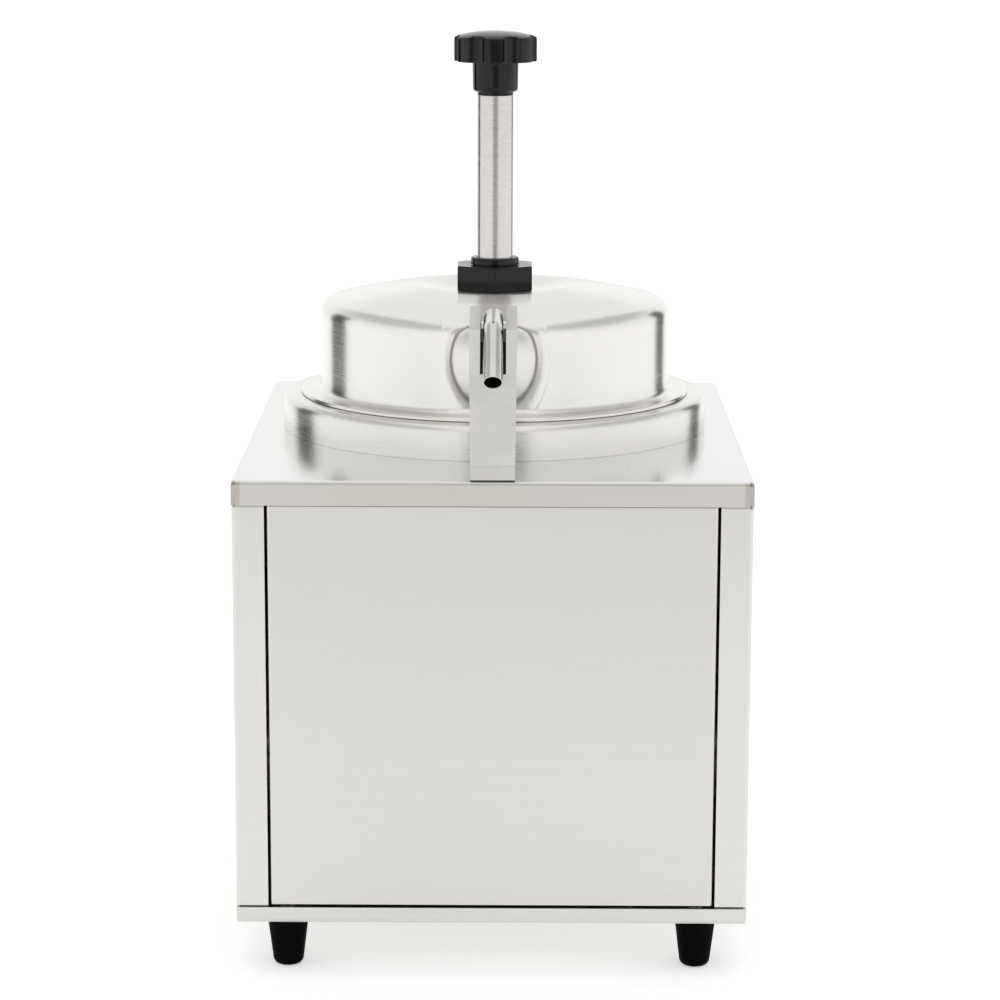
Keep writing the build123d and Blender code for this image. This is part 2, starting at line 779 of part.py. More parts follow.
barrel_bore = barrel_radius - barrel_wall
bushing_seat = spigot_top - bushing_body_depth
with BuildPart() as barrel:
    with BuildSketch(level(barrel_foot)):
        Circle(barrel_radius)
    extrude(amount=gasket_foot - barrel_foot)
    with BuildSketch(level(gasket_foot - head_flange_thickness)):
        Circle(head_flange_radius)
    extrude(amount=head_flange_thickness)
    with BuildSketch(level(gasket_foot)):
        Circle(spigot_radius)
    extrude(amount=spigot_top - gasket_foot)
    with BuildSketch(level(barrel_foot)):
        Circle(barrel_bore)
    extrude(amount=gasket_foot - 2 * head_flange_thickness - barrel_foot, mode=Mode.SUBTRACT)
    with BuildSketch(level(barrel_foot)):
        Circle(plunger_radius + screw_hole_play)
    extrude(amount=spigot_top - barrel_foot, mode=Mode.SUBTRACT)
    with BuildSketch(level(bushing_seat)):
        Circle(bushing_body_radius)
    extrude(amount=bushing_body_depth, mode=Mode.SUBTRACT)
save(barrel, "pump_barrel")

nut_foot = pump_seat_height + seat_gap
nut_top = nut_foot + nut_height
with BuildPart() as lock_nut:
    with BuildSketch(level(nut_foot)):
        hexagon(nut_across_flats, corner_to_front)
    extrude(amount=nut_height)
    chamfer(lock_nut.faces().sort_by(Axis.Z)[-1].edges(), nut_chamfer)
    with BuildSketch(level(nut_foot)):
        Circle(spigot_radius + thread_clearance)
    extrude(amount=nut_height, mode=Mode.SUBTRACT)
save(lock_nut, "lock_nut")

bushing_flange_foot = nut_top + seat_gap
with BuildPart() as bushing:
    with BuildSketch(level(bushing_flange_foot)):
        Circle(bushing_flange_radius)
    extrude(amount=bushing_flange_thickness)
    fillet(bushing.edges().group_by(Axis.Z)[-1], bushing_edge)
    with BuildSketch(level(bushing_seat)):
        Circle(bushing_body_radius - running_clearance)
    extrude(amount=bushing_flange_foot - bushing_seat)
    with BuildSketch(level(bushing_seat)):
        Circle(plunger_radius + running_clearance)
    extrude(amount=2 * bushing_body_depth, mode=Mode.SUBTRACT)
save(bushing, "plunger_bushing")

# ---------------------------------------------------------------- plunger and knob
piston_foot = plunger_foot - piston_height
with BuildPart() as plunger_tube:
    with BuildSketch(level(plunger_foot)):
        Circle(plunger_radius)
        Circle(plunger_radius - plunger_wall, mode=Mode.SUBTRACT)
    extrude(amount=plunger_top - plunger_foot)
    chamfer(plunger_tube.edges().group_by(Axis.Z)[-1].sort_by(SortBy.RADIUS)[-1], tube_end_chamfer)
save(plunger_tube, "plunger_tube")

hub_foot = plunger_top + knob_washer_thickness
hub_top = hub_foot + hub_height
stem_radius = plunger_radius - plunger_wall - running_clearance
with BuildPart() as knob_washer:
    with BuildSketch(level(plunger_top)):
        Circle(knob_washer_radius)
        Circle(stem_radius + running_clearance, mode=Mode.SUBTRACT)
    extrude(amount=knob_washer_thickness)
save(knob_washer, "knob_washer")

with BuildPart() as knob:
    with BuildSketch(level(hub_top)):
        Circle(knob_radius)
        groove_centre = knob_radius + knob_groove_radius - knob_groove_depth
        with PolarLocations(groove_centre, knob_lobes, start_angle=knob_turn + 180 / knob_lobes):
            Circle(knob_groove_radius, mode=Mode.SUBTRACT)
        fillet(vertices(), knob_groove_radius / 2)
    extrude(amount=knob_height + knob_dome)
    # the top is a shallow dome
    dome_radius = (knob_radius ** 2 + knob_dome ** 2) / (2 * knob_dome)
    with Locations((0, well_y, deck_z + hub_top + knob_height + knob_dome - dome_radius)):
        Sphere(dome_radius, mode=Mode.INTERSECT)
    fillet(knob.faces().sort_by(Axis.Z)[-1].edges(), knob_edge)
    fillet(knob.faces().sort_by(Axis.Z)[0].edges(), knob_under_edge)
    with BuildSketch(level(hub_foot)):
        Circle(hub_radius)
    extrude(amount=hub_height)
    fillet(knob.edges().group_by(Axis.Z)[0], hub_edge)
    with BuildSketch(level(hub_foot)):
        Circle(stem_radius)
    extrude(amount=-knob_stem_length)
save(knob, "pump_knob")

seal_foot = piston_foot + seal_offset
with BuildPart() as piston:
    with BuildSketch(level(piston_foot)):
        Circle(barrel_bore - piston_play)
    extrude(amount=piston_height)
    with BuildSketch(level(seal_foot)):
        Circle(barrel_bore)
        Circle(barrel_bore - seal_depth, mode=Mode.SUBTRACT)
    extrude(amount=seal_height, mode=Mode.SUBTRACT)
    # plug that the plunger tube is pressed over
    with BuildSketch(level(plunger_foot)):
        Circle(stem_radius)
    extrude(amount=piston_height)
    with BuildSketch(level(piston_foot)):
        Circle(piston_screw_radius + thread_clearance)
    extrude(amount=piston_screw_length, mode=Mode.SUBTRACT)
    with BuildSketch(level(piston_foot)):
        Circle(piston_screw_head_radius + screw_hole_play)
    extrude(amount=piston_screw_head_height, mode=Mode.SUBTRACT)
save(piston, "piston")

with BuildPart() as piston_seal:
    with BuildSketch(level(seal_foot)):
        Circle(barrel_bore - running_clearance)
        Circle(barrel_bore - seal_depth, mode=Mode.SUBTRACT)
    extrude(amount=seal_height)
    chamfer(piston_seal.edges().group_by(Axis.Z)[0].sort_by(SortBy.RADIUS)[-1], piston_play)
save(piston_seal, "piston_seal")

with BuildPart() as piston_screw:
    with BuildSketch(level(piston_foot)):
        Circle(piston_screw_head_radius)
        RegularPolygon(piston_socket_flats / 2, hexagon_sides, major_radius=False, mode=Mode.SUBTRACT)
    extrude(amount=piston_screw_head_height)
    with BuildSketch(level(piston_foot + piston_screw_head_height / 2)):
        Circle(piston_screw_radius)
    extrude(amount=piston_screw_length - piston_screw_head_height / 2 - piston_play)
save(piston_screw, "piston_screw")

# ---------------------------------------------------------------- pump spring
spring_foot = barrel_foot + valve_spigot + spring_end_gap + spring_wire / 2
spring_head = piston_foot - spring_end_gap - spring_wire / 2
spring_pitch = (spring_head - spring_foot) / spring_turns


def coil_point(turn):
    angle = 2 * pi * turn
    return Vector(
        spring_mean_radius * cos(angle),
        well_y + spring_mean_radius * sin(angle),
        deck_z + spring_foot + spring_pitch * turn,
    )


def coil_direction(turn):
    angle = 2 * pi * turn
    rise = spring_pitch / (2 * pi)
    return Vector(-spring_mean_radius * sin(angle), spring_mean_radius * cos(angle), rise).normalized()


def biarc(start, end):
    """Two tangent arcs along the coil from one turn count to another."""
    first, last = coil_point(start), coil_point(end)
    leave, arrive = coil_direction(start), coil_direction(end)
    chord = last - first
    # equal handles d solve |chord - d (leave + arrive)| = 2 d
    both = leave + arrive
    curving = 2 * 2 - both.dot(both)
    across = chord.dot(both)
    handle = (sqrt(across ** 2 + curving * chord.dot(chord)) - across) / curving
    middle = (first + leave * handle + last - arrive * handle) / 2
    TangentArc(first, middle, tangent=leave)
    TangentArc(middle, last, tangent=(last - arrive * handle) - (first + leave * handle))


with BuildPart() as pump_spring:
    with BuildLine() as coil:
        for step in range(spring_turns * arcs_per_turn):
            biarc(step / arcs_per_turn, (step + 1) / arcs_per_turn)
    with BuildSketch(Plane(coil_point(0), z_dir=coil_direction(0))):
        Circle(spring_wire / 2)
    sweep(path=coil.wires()[0])
spring_self_gap = spring_pitch - spring_wire
pressed_gap = spring_self_gap - plunger_stroke / spring_turns
print(f"pump spring: {spring_turns} turns, gap between turns {spring_self_gap:.2f} mm, "
      f"{pressed_gap:.2f} mm at the end of the stroke, "
      f"volume {pump_spring.part.volume:.1f}, "
      f"section times length {pi * (spring_wire / 2) ** 2 * coil.wires()[0].length:.1f}")
save(pump_spring, "pump_spring")

# ---------------------------------------------------------------- foot valve
valve_top = barrel_foot
valve_foot = valve_top - valve_height
inlet_cone_rise = valve_bore_radius - inlet_hole_radius
inlet_cone_tip = inlet_cone_foot - inlet_hole_radius
inlet_ball_height = inlet_cone_tip + inlet_ball_radius * sqrt(2) + ball_seat_clearance
inlet_stop_height = (inlet_ball_height + inlet_ball_radius + inlet_ball_lift
                     + inlet_stop_radius + ball_seat_clearance)
outlet_ball_height = (outlet_seat_height + ball_seat_clearance
                      + sqrt(outlet_ball_radius ** 2 - outlet_seat_radius ** 2))
outlet_stop_height = (outlet_ball_height + outlet_ball_radius + outlet_ball_lift
                      + outlet_stop_radius + ball_seat_clearance)
with BuildPart() as valve_body:
    with BuildSketch(level(valve_foot)):
        Circle(barrel_radius)
    extrude(amount=valve_height)
    fillet(valve_body.edges().group_by(Axis.Z)[0], valve_edge)
    with BuildSketch(level(valve_top)):
        Circle(barrel_bore - running_clearance)
    extrude(amount=valve_spigot)
    with BuildSketch(level(outlet_boss_foot)):
        with Locations((0, -riser_reach / 2)):
            Rectangle(outlet_boss_bridge_width, riser_reach)
    extrude(amount=outlet_boss_bridge_height)
    with BuildSketch(level(outlet_boss_foot)):
        with Locations((0, -riser_reach)):
            Circle(outlet_boss_radius)
    extrude(amount=outlet_boss_top - outlet_boss_foot)
    # inlet: a bore with a cone at its foot for the ball
    with BuildSketch(level(inlet_cone_foot + inlet_cone_rise)):
        Circle(valve_bore_radius)
    extrude(amount=valve_height, mode=Mode.SUBTRACT)
    with BuildSketch(level(inlet_cone_foot)):
        Circle(inlet_hole_radius)
    extrude(amount=inlet_cone_rise, taper=-45, mode=Mode.SUBTRACT)
    with BuildSketch(level(valve_foot)):
        Circle(inlet_hole_radius)
    extrude(amount=inlet_cone_foot - valve_foot, mode=Mode.SUBTRACT)
    with BuildSketch(level(valve_foot)):
        for slot in range(inlet_slots // 2):
            Rectangle(2 * barrel_radius + 1, inlet_slot_width,
                      rotation=45 + 180 * slot / (inlet_slots // 2))
    extrude(amount=inlet_slot_height, mode=Mode.SUBTRACT)
    # outlet: across to the boss, then up past the second ball
    with BuildSketch(Plane((0, well_y, deck_z + outlet_port_height), z_dir=(0, -1, 0))):
        Circle(outlet_port_radius)
    extrude(amount=riser_reach, mode=Mode.SUBTRACT)
    port_floor = outlet_port_height - outlet_port_radius
    with BuildSketch(level(port_floor)):
        with Locations((0, -riser_reach)):
            Circle(outlet_seat_radius)
    extrude(amount=outlet_seat_height - port_floor, mode=Mode.SUBTRACT)
    with BuildSketch(level(outlet_seat_height)):
        with Locations((0, -riser_reach)):
            Circle(outlet_bore_radius)
    extrude(amount=outlet_boss_top - outlet_seat_height, mode=Mode.SUBTRACT)
    # cross holes for the two stop pins
    with BuildSketch(Plane((0, well_y, deck_z + inlet_stop_height), z_dir=(1, 0, 0))):
        Circle(inlet_stop_radius)
    extrude(amount=barrel_radius, both=True, mode=Mode.SUBTRACT)
    with BuildSketch(Plane((0, well_y - riser_reach, deck_z + outlet_stop_height), z_dir=(1, 0, 0))):
        Circle(outlet_stop_radius)
    extrude(amount=outlet_boss_radius, both=True, mode=Mode.SUBTRACT)
save(valve_body, "valve_body")

with BuildPart() as ball_stops:
    inlet_stop_half = (barrel_radius + valve_bore_radius) / 2
    with BuildSketch(Plane((0, well_y, deck_z + inlet_stop_height), z_dir=(1, 0, 0))):
        Circle(inlet_stop_radius)
    extrude(amount=inlet_stop_half, both=True)
    outlet_stop_half = (outlet_boss_radius + outlet_bore_radius) / 2
    with BuildSketch(Plane((0, well_y - riser_reach, deck_z + outlet_stop_height), z_dir=(1, 0, 0))):
        Circle(outlet_stop_radius)
    extrude(amount=outlet_stop_half, both=True)
save(ball_stops, "ball_stop_pins")

with BuildPart() as inlet_ball:
    with Locations((0, well_y, deck_z + inlet_ball_height)):
        Sphere(inlet_ball_radius)
save(inlet_ball, "inlet_ball")

with BuildPart() as outlet_ball:
    with Locations((0, well_y - riser_reach, deck_z + outlet_ball_height)):
        Sphere(outlet_ball_radius)
save(outlet_ball, "outlet_ball")

# ---------------------------------------------------------------- discharge tube
with BuildPart() as discharge_tube:
    with BuildLine(side_section) as tube_path:
        FilletPolyline(*tube_path_points, radius=[riser_bend, crest_bend, spout_bend])
    tube_start = Plane((0, *tube_path_points[0]))
    with BuildSketch(tube_start):
        Circle(tube_radius)
        Circle(tube_radius - tube_wall, mode=Mode.SUBTRACT)
    sweep(path=tube_path.wires()[0])
    # collar that the union nut pulls down
    with BuildSketch(tube_start):
        Circle(tube_collar_radius)
        Circle(tube_radius - tube_wall, mode=Mode.SUBTRACT)
    extrude(amount=tube_collar_height)
save(discharge_tube, "discharge_tube")

with BuildPart() as union_nut:
    with BuildSketch(level(outlet_boss_top)):
        with Locations((0, -riser_reach)):
            Circle(outlet_boss_radius)
            Circle(tube_collar_radius + running_clearance, mode=Mode.SUBTRACT)
    extrude(amount=tube_collar_height)
    with BuildSketch(level(outlet_boss_top + tube_collar_height)):
        with Locations((0, -riser_reach)):
            hexagon(union_across_flats)
            Circle(tube_radius + running_clearance, mode=Mode.SUBTRACT)
    extrude(amount=union_height)
save(union_nut, "union_nut")

# the grommet seals the tube where it leaves the round pocket of the lid
exit_along = recess_reach - crest_reach
exit_up = crest_height - recess_height
incline = radians(tube_incline)
# distance back along the tube from the crest corner to the pocket's surface
centre_back = -exit_along * cos(incline) + exit_up * sin(incline)
centre_off = exit_along * sin(incline) + exit_up * cos(incline)
exit_back = centre_back + sqrt(recess_ball_radius ** 2 - centre_off ** 2)
with BuildPart() as grommet:
    with BuildSketch(incline_plane.offset(-exit_back - lid_sheet)):
        Circle(grommet_radius)
        Circle(tube_radius + running_clearance, mode=Mode.SUBTRACT)
    extrude(amount=grommet_thickness + 2 * lid_sheet)
    with Locations(recess_centre):
        Sphere(recess_ball_radius - seat_gap, mode=Mode.INTERSECT)
save(grommet, "tube_grommet")

# ---------------------------------------------------------------- heated spout cradle
leg_back = cradle_foot_reach - cradle_leg
level_slope = atan2(crest_height - level_height, level_reach - crest_reach)
floor_drop = tube_radius + cradle_slot_floor_gap


def below_tube(reach, height, slope, drop):
    """The point a given distance square below the tube's line at a slope."""
    return ahead(reach - drop * sin(slope), height - drop * cos(slope))


def slot_floor(drop):
    """Line under the tube: level run, then down along the spout."""
    mid_slope = (level_slope + spout_drop) / 2
    bend_drop = drop / cos((spout_drop - level_slope) / 2)
    tail_drop = drop
    return [
        below_tube(cradle_web_tail_reach, crest_height
                   - (cradle_web_tail_reach - crest_reach) * tan(level_slope), level_slope, tail_drop),
        below_tube(level_reach, level_height, mid_slope, bend_drop),
        below_tube(spout_reach, spout_height, spout_drop, drop),
    ]


slot_width_over = cradle_slot_width / 2
slot_mouth = cradle_tail_height + floor_drop
with BuildPart() as cradle:
    with BuildSketch(side_section):
        with BuildLine():
            web_under = slot_floor(floor_drop + cradle_web)
            Polyline(
                ahead(leg_back, cradle_gasket_thickness),
                ahead(cradle_foot_reach - cradle_foot_step, cradle_gasket_thickness),
                ahead(cradle_face_top_reach, cradle_face_top_height),
                ahead(cradle_corner_reach, cradle_corner_height),
                ahead(cradle_tail_reach, cradle_tail_height),
                ahead(cradle_tail_reach, level_height - cradle_web),
                web_under[0],
                web_under[1],
                ahead(leg_back, cradle_face_top_height - cradle_leg),
                close=True,
            )
        make_face()
    extrude(amount=cradle_foot_width, both=True)
    # the inner corner between leg and arm is rounded
    inner_corner = cradle.edges().filter_by(Axis.X).sort_by_distance(
        (0, *ahead(leg_back, cradle_face_top_height - cradle_leg)))[0]
    fillet(inner_corner, cradle_inner_round)
    outer_corner = cradle.edges().filter_by(Axis.X).sort_by_distance(
        (0, *ahead(cradle_corner_reach, cradle_corner_height)))[0]
    fillet(outer_corner, cradle_corner_round)
    # foot, with room for the screws behind the leg
    with BuildSketch(side_section):
        with BuildLine():
            Polyline(
                ahead(cradle_foot_reach - cradle_foot_length, cradle_gasket_thickness),
                ahead(cradle_foot_reach, cradle_gasket_thickness),
                ahead(cradle_foot_reach, cradle_foot_height),
                ahead(cradle_foot_reach - cradle_foot_length, cradle_foot_height),
                close=True,
            )
        make_face()
    extrude(amount=cradle_foot_width, both=True)
    # both sides flare a little towards the top
    with BuildSketch(Plane.XZ.offset(-well_y)):
        with BuildLine():
            half_foot = cradle_foot_width / 2
            half_top = half_foot + cradle_flare * slot_mouth / 2
            Polyline((-half_foot, deck_z), (half_foot, deck_z), (half_top, deck_z + slot_mouth),
                     (-half_top, deck_z + slot_mouth), close=True)
        make_face()
    extrude(amount=cabinet_depth, mode=Mode.INTERSECT)
    # the slot that the discharge tube drops into
    with BuildSketch(side_section):
        with BuildLine():
            floor_line = slot_floor(floor_drop)
            Polyline(
                ahead(cradle_tail_reach - 1, slot_mouth),
                ahead(cradle_tail_reach - 1, 0),
                ahead(cradle_web_tail_reach, 0),
                *floor_line,
                ahead(spout_reach, slot_mouth),
                close=True,
            )
        make_face()
    extrude(amount=slot_width_over, both=True, mode=Mode.SUBTRACT)
    # bore for the cartridge heater and threaded holes in the foot
    with BuildSketch(Plane((0, cradle_heater_y, deck_z + cradle_gasket_thickness))):
        Circle(cradle_heater_radius + cradle_heater_fit)
    extrude(amount=cradle_heater_length, mode=Mode.SUBTRACT)
    with BuildSketch(Plane((0, cradle_mount_y, deck_z + cradle_gasket_thickness))):
        with GridLocations(cradle_screw_spacing, 1, 2, 1):
            Circle(cradle_screw_radius + thread_clearance)
    extrude(amount=cradle_foot_height, mode=Mode.SUBTRACT)
save(cradle, "spout_cradle")

with BuildPart() as cradle_gasket:
    with BuildSketch(Plane((0, well_y - cradle_foot_reach + cradle_foot_length / 2, deck_z))):
        Rectangle(cradle_foot_width, cradle_foot_length)
    extrude(amount=cradle_gasket_thickness)
    with BuildSketch(Plane((0, cradle_mount_y, deck_z))):
        with GridLocations(cradle_screw_spacing, 1, 2, 1):
            Circle(cradle_screw_radius + screw_hole_play)
    extrude(amount=cradle_gasket_thickness, mode=Mode.SUBTRACT)
    with BuildSketch(Plane((0, cradle_heater_y, deck_z))):
        Circle(heater_lead_radius)
    extrude(amount=cradle_gasket_thickness, mode=Mode.SUBTRACT)
save(cradle_gasket, "cradle_gasket")

with BuildPart() as cradle_heater:
    with BuildSketch(Plane((0, cradle_heater_y, deck_z - panel_sheet))):
        Circle(cradle_heater_radius)
    extrude(amount=cradle_heater_length + panel_sheet)
    chamfer(cradle_heater.edges().group_by(Axis.Z)[-1], cradle_heater_chamfer)
save(cradle_heater, "cradle_heater")

with BuildPart() as cradle_screws:
    with BuildSketch(Plane((0, cradle_mount_y, deck_z - panel_sheet))):
        with GridLocations(cradle_screw_spacing, 1, 2, 1):
            Circle(cradle_screw_radius * screw_head_ratio)
    extrude(amount=-screw_head_height)
    fillet(cradle_screws.edges().group_by(Axis.Z)[0], screw_head_height / 2)
    with BuildSketch(Plane((0, cradle_mount_y, deck_z - panel_sheet))):
        with GridLocations(cradle_screw_spacing, 1, 2, 1):
            Circle(cradle_screw_radius)
    extrude(amount=panel_sheet + cradle_foot_height - seat_gap)
save(cradle_screws, "cradle_screws")

# ---------------------------------------------------------------- thermostat
with BuildPart() as thermostat:
    with BuildSketch(rear_plane(thermostat_x, control_height, panel_sheet)):
        Rectangle(thermostat_body_width, thermostat_body_height)
    extrude(amount=-thermostat_body_depth)
    fillet(thermostat.edges().filter_by(Axis.Y), 2 * panel_sheet)
    with BuildSketch(rear_plane(thermostat_x, control_height, panel_sheet)):
        Circle(thermostat_bushing_radius)
    extrude(amount=panel_sheet + dial_thickness)
    with BuildSketch(rear_plane(thermostat_x, control_height, panel_sheet + thermostat_body_depth)):
        Circle(thermostat_shaft_radius + running_clearance)
    extrude(amount=2 * thermostat_body_depth, mode=Mode.SUBTRACT)
save(thermostat, "thermostat_body")

with BuildPart() as dial_plate:
    with BuildSketch(rear_plane(thermostat_x, control_height)):
        Circle(dial_radius)
        Circle(thermostat_bushing_radius + thread_clearance, mode=Mode.SUBTRACT)
    extrude(amount=dial_thickness)
save(dial_plate, "dial_plate")

knob_seat = dial_thickness + knob_dial_gap
with BuildPart() as dial_knob:
    with BuildSketch(rear_plane(thermostat_x, control_height, -knob_seat)):
        Circle(knob_dial_skirt)
    extrude(amount=knob_dial_skirt_height, taper=knob_dial_skirt_angle)
    with BuildSketch(rear_plane(thermostat_x, control_height, -knob_seat)):
        Circle(knob_dial_radius)
    extrude(amount=knob_dial_height)
    # the upper part is cut to a bar that the fingers turn
    with BuildSketch(rear_plane(thermostat_x, control_height, -knob_seat - 2 * knob_dial_skirt_height)):
        Circle(knob_dial_radius + 1)
        Rectangle(knob_dial_grip_width, 2 * knob_dial_skirt, mode=Mode.SUBTRACT)
    extrude(amount=knob_dial_height, mode=Mode.SUBTRACT)
    fillet(dial_knob.faces().sort_by(Axis.Y)[-1].edges(), knob_dial_edge)
    with BuildSketch(rear_plane(thermostat_x, control_height, -knob_seat)):
        Circle(thermostat_shaft_radius)
    extrude(amount=-(knob_seat + panel_sheet + thermostat_body_depth / 2))
save(dial_knob, "thermostat_knob")

bulb_x = thermostat_x
bulb_offset = well_outer_radius + bulb_radius + bulb_clearance
bulb_y = well_y + sqrt(bulb_offset ** 2 - bulb_x ** 2)
bulb_foot = deck_z - well_depth + 2 * well_corner
body_foot = deck_z + control_height - thermostat_body_height / 2
capillary_y = rear_y - panel_sheet - thermostat_body_depth / 2
with BuildPart() as bulb:
    with BuildSketch(Plane((bulb_x, bulb_y, bulb_foot))):
        Circle(bulb_radius)
    extrude(amount=bulb_length)
    fillet(bulb.edges().group_by(Axis.Z)[0], bulb_radius / 2)
    with BuildLine(Plane.YZ.offset(bulb_x)) as capillary_path:
        loop_foot = bulb_foot - capillary_drop
        FilletPolyline((bulb_y, bulb_foot + bulb_radius), (bulb_y, loop_foot),
                       (capillary_y, loop_foot), (capillary_y, body_foot),
                       radius=[capillary_bend, capillary_bend])
    with BuildSketch(Plane((bulb_x, bulb_y, bulb_foot + bulb_radius), z_dir=(0, 0, -1))):
        Circle(capillary_radius)
    sweep(path=capillary_path.wires()[0])
save(bulb, "thermostat_bulb")

# spring clips that hold the bulb against the wall of the well
bulb_angle = degrees(atan2(bulb_y - well_y, bulb_x))
clip_inner = bulb_radius + bulb_clearance
with BuildPart() as bulb_clips:
    for clip_height in (bulb_clip_offset, bulb_length - bulb_clip_offset):
        clip_plane = Plane((bulb_x, bulb_y, bulb_foot + clip_height - bulb_clip_width / 2),
                           x_dir=(cos(radians(bulb_angle)), sin(radians(bulb_angle)), 0))
        with BuildSketch(clip_plane):
            Circle(clip_inner + bulb_clip_thickness)
            with Locations((-clip_inner / 2, 0)):
                Rectangle(clip_inner, 2 * (clip_inner + bulb_clip_thickness))
            with Locations((-bulb_offset, 0)):
                Circle(well_outer_radius + seat_gap, mode=Mode.SUBTRACT)
            Circle(clip_inner, mode=Mode.SUBTRACT)
            with Locations((-clip_inner / 2, 0)):
                Rectangle(clip_inner, 2 * clip_inner, mode=Mode.SUBTRACT)
        extrude(amount=bulb_clip_width)
save(bulb_clips, "bulb_clips")

# ---------------------------------------------------------------- switch, lamp and cable inlet
pocket_width = rocker_width + 2 * rocker_play
pocket_height = rocker_height + 2 * rocker_play
with BuildPart() as switch_body:
    with BuildSketch(rear_plane(switch_x, control_height)):
        Rectangle(switch_width, switch_height)
    extrude(amount=-switch_depth)
    with BuildSketch(rear_plane(switch_x, control_height)):
        RectangleRounded(switch_width + 2 * switch_bezel, switch_height + 2 * switch_bezel, switch_bezel)
    extrude(amount=switch_bezel_thickness)
    chamfer(switch_body.faces().sort_by(Axis.Y)[-1].edges(), switch_bezel_thickness / 2)
    pocket_depth = rocker_width / 2
    with BuildSketch(rear_plane(switch_x, control_height, pocket_depth)):
        Rectangle(pocket_width, pocket_height)
    extrude(amount=2 * pocket_depth, mode=Mode.SUBTRACT)
    with BuildSketch(Plane((switch_x, rear_y, deck_z + control_height), z_dir=(0, 0, 1))):
        Circle(rocker_pin_radius + running_clearance)
    extrude(amount=pocket_height / 2 + rocker_pin_grip, both=True, mode=Mode.SUBTRACT)
    with BuildSketch(rear_plane(switch_x, control_height, switch_depth)):
        with GridLocations(switch_width / 2, 1, 2, 1):
            Rectangle(blade_thickness, blade_width)
    extrude(amount=-blade_length)
save(switch_body, "power_switch_body")

# the rocker tips about an upright pin; at rest its left end is pressed in
rocker_thickness = rocker_proud * 2
rocker_half_angle = rocker_travel / 2
with BuildPart() as rocker:
    with BuildSketch(Plane((switch_x, rear_y, deck_z + control_height - rocker_height / 2))):
        with BuildLine():
            half = rocker_width / 2
            wing = half * tan(radians(rocker_half_angle))
            Polyline((-half, rocker_proud + wing), (0, rocker_proud), (half, rocker_proud + wing),
                     (half, -wing), (0, -rocker_thickness + rocker_proud), (-half, -wing), close=True)
        make_face()
    extrude(amount=rocker_height)
    fillet(rocker.edges().filter_by(Axis.Z).group_by(Axis.Y)[-1], rocker_edge)
    with BuildSketch(Plane((switch_x, rear_y, deck_z + control_height), z_dir=(0, 0, 1))):
        Circle(rocker_pin_radius)
    extrude(amount=rocker_height / 2 + rocker_play + rocker_pin_grip, both=True)
rocker_rest = rocker.part.rotate(
    Axis((switch_x, rear_y, deck_z + control_height), (0, 0, 1)), rocker_half_angle)
rocker_rest.label = "power_rocker"
export_step(rocker_rest, "parts/power_rocker.step")

with BuildPart() as lamp:
    with BuildSketch(rear_plane(lamp_x, control_height)):
        Circle(lamp_radius)
    extrude(amount=-lamp_depth)
    with BuildSketch(rear_plane(lamp_x, control_height, lamp_depth)):
        Circle(lamp_radius / 2)
    extrude(amount=-lamp_radius)
save(lamp, "pilot_lamp_body")

with BuildPart() as lamp_lens:
    with BuildSketch(rear_plane(lamp_x, control_height)):
        Circle(lamp_lens_radius)
    extrude(amount=lamp_lens_proud)
    fillet(lamp_lens.edges().group_by(Axis.Y)[-1], lamp_lens_round)
save(lamp_lens, "pilot_lamp_lens")

with BuildPart() as gland:
    with BuildSketch(rear_plane(gland_x, gland_height)):
        Circle(gland_flange_radius)
    extrude(amount=gland_flange_thickness)
    chamfer(gland.edges().group_by(Axis.Y)[-1], gland_chamfer)
    with BuildSketch(rear_plane(gland_x, gland_height, -gland_flange_thickness)):
        Circle(gland_cap_radius)
    with BuildSketch(rear_plane(gland_x, gland_height, -gland_flange_thickness - gland_cap_length)):
        Circle(gland_cap_tip_radius)
    loft()
    with BuildSketch(rear_plane(gland_x, gland_height)):
        Circle(gland_radius)
    extrude(amount=-gland_tail)
    with BuildSketch(rear_plane(gland_x, gland_height, gland_tail)):
        Circle(gland_bore_radius)
    extrude(amount=gland_tail + gland_flange_thickness + gland_cap_length, mode=Mode.SUBTRACT)
save(gland, "cable_inlet")

with BuildPart() as gland_nut:
    with BuildSketch(rear_plane(gland_x, gland_height, panel_sheet)):
        hexagon(gland_nut_across_flats)
        Circle(gland_radius + running_clearance, mode=Mode.SUBTRACT)
    extrude(amount=-gland_nut_thickness)
save(gland_nut, "cable_inlet_nut")

terminal_y = cabinet_y + terminal_setback
with BuildPart() as terminals:
    with BuildSketch(Plane((terminal_x, terminal_y, base_floor_top))):
        Rectangle(terminal_length, terminal_width)
    extrude(amount=terminal_height - terminal_wall_height)
    way = terminal_length / terminal_ways
    with BuildSketch(Plane((terminal_x, terminal_y, base_floor_top))):
        with GridLocations(way, 1, terminal_ways - 1, 1):
            Rectangle(panel_sheet, terminal_width)
    extrude(amount=terminal_height)
    top_of_ways = base_floor_top + terminal_height - terminal_wall_height
    with BuildSketch(Plane((terminal_x, terminal_y, top_of_ways))):
        with GridLocations(way, terminal_width / 2, terminal_ways, 2):
            Circle(terminal_hole_radius)
    extrude(amount=-terminal_wall_height, mode=Mode.SUBTRACT)
save(terminals, "terminal_block")
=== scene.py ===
import bpy
import bmesh
from math import atan2, cos, pi, radians, sin, sqrt, tan
from mathutils import Matrix, Vector


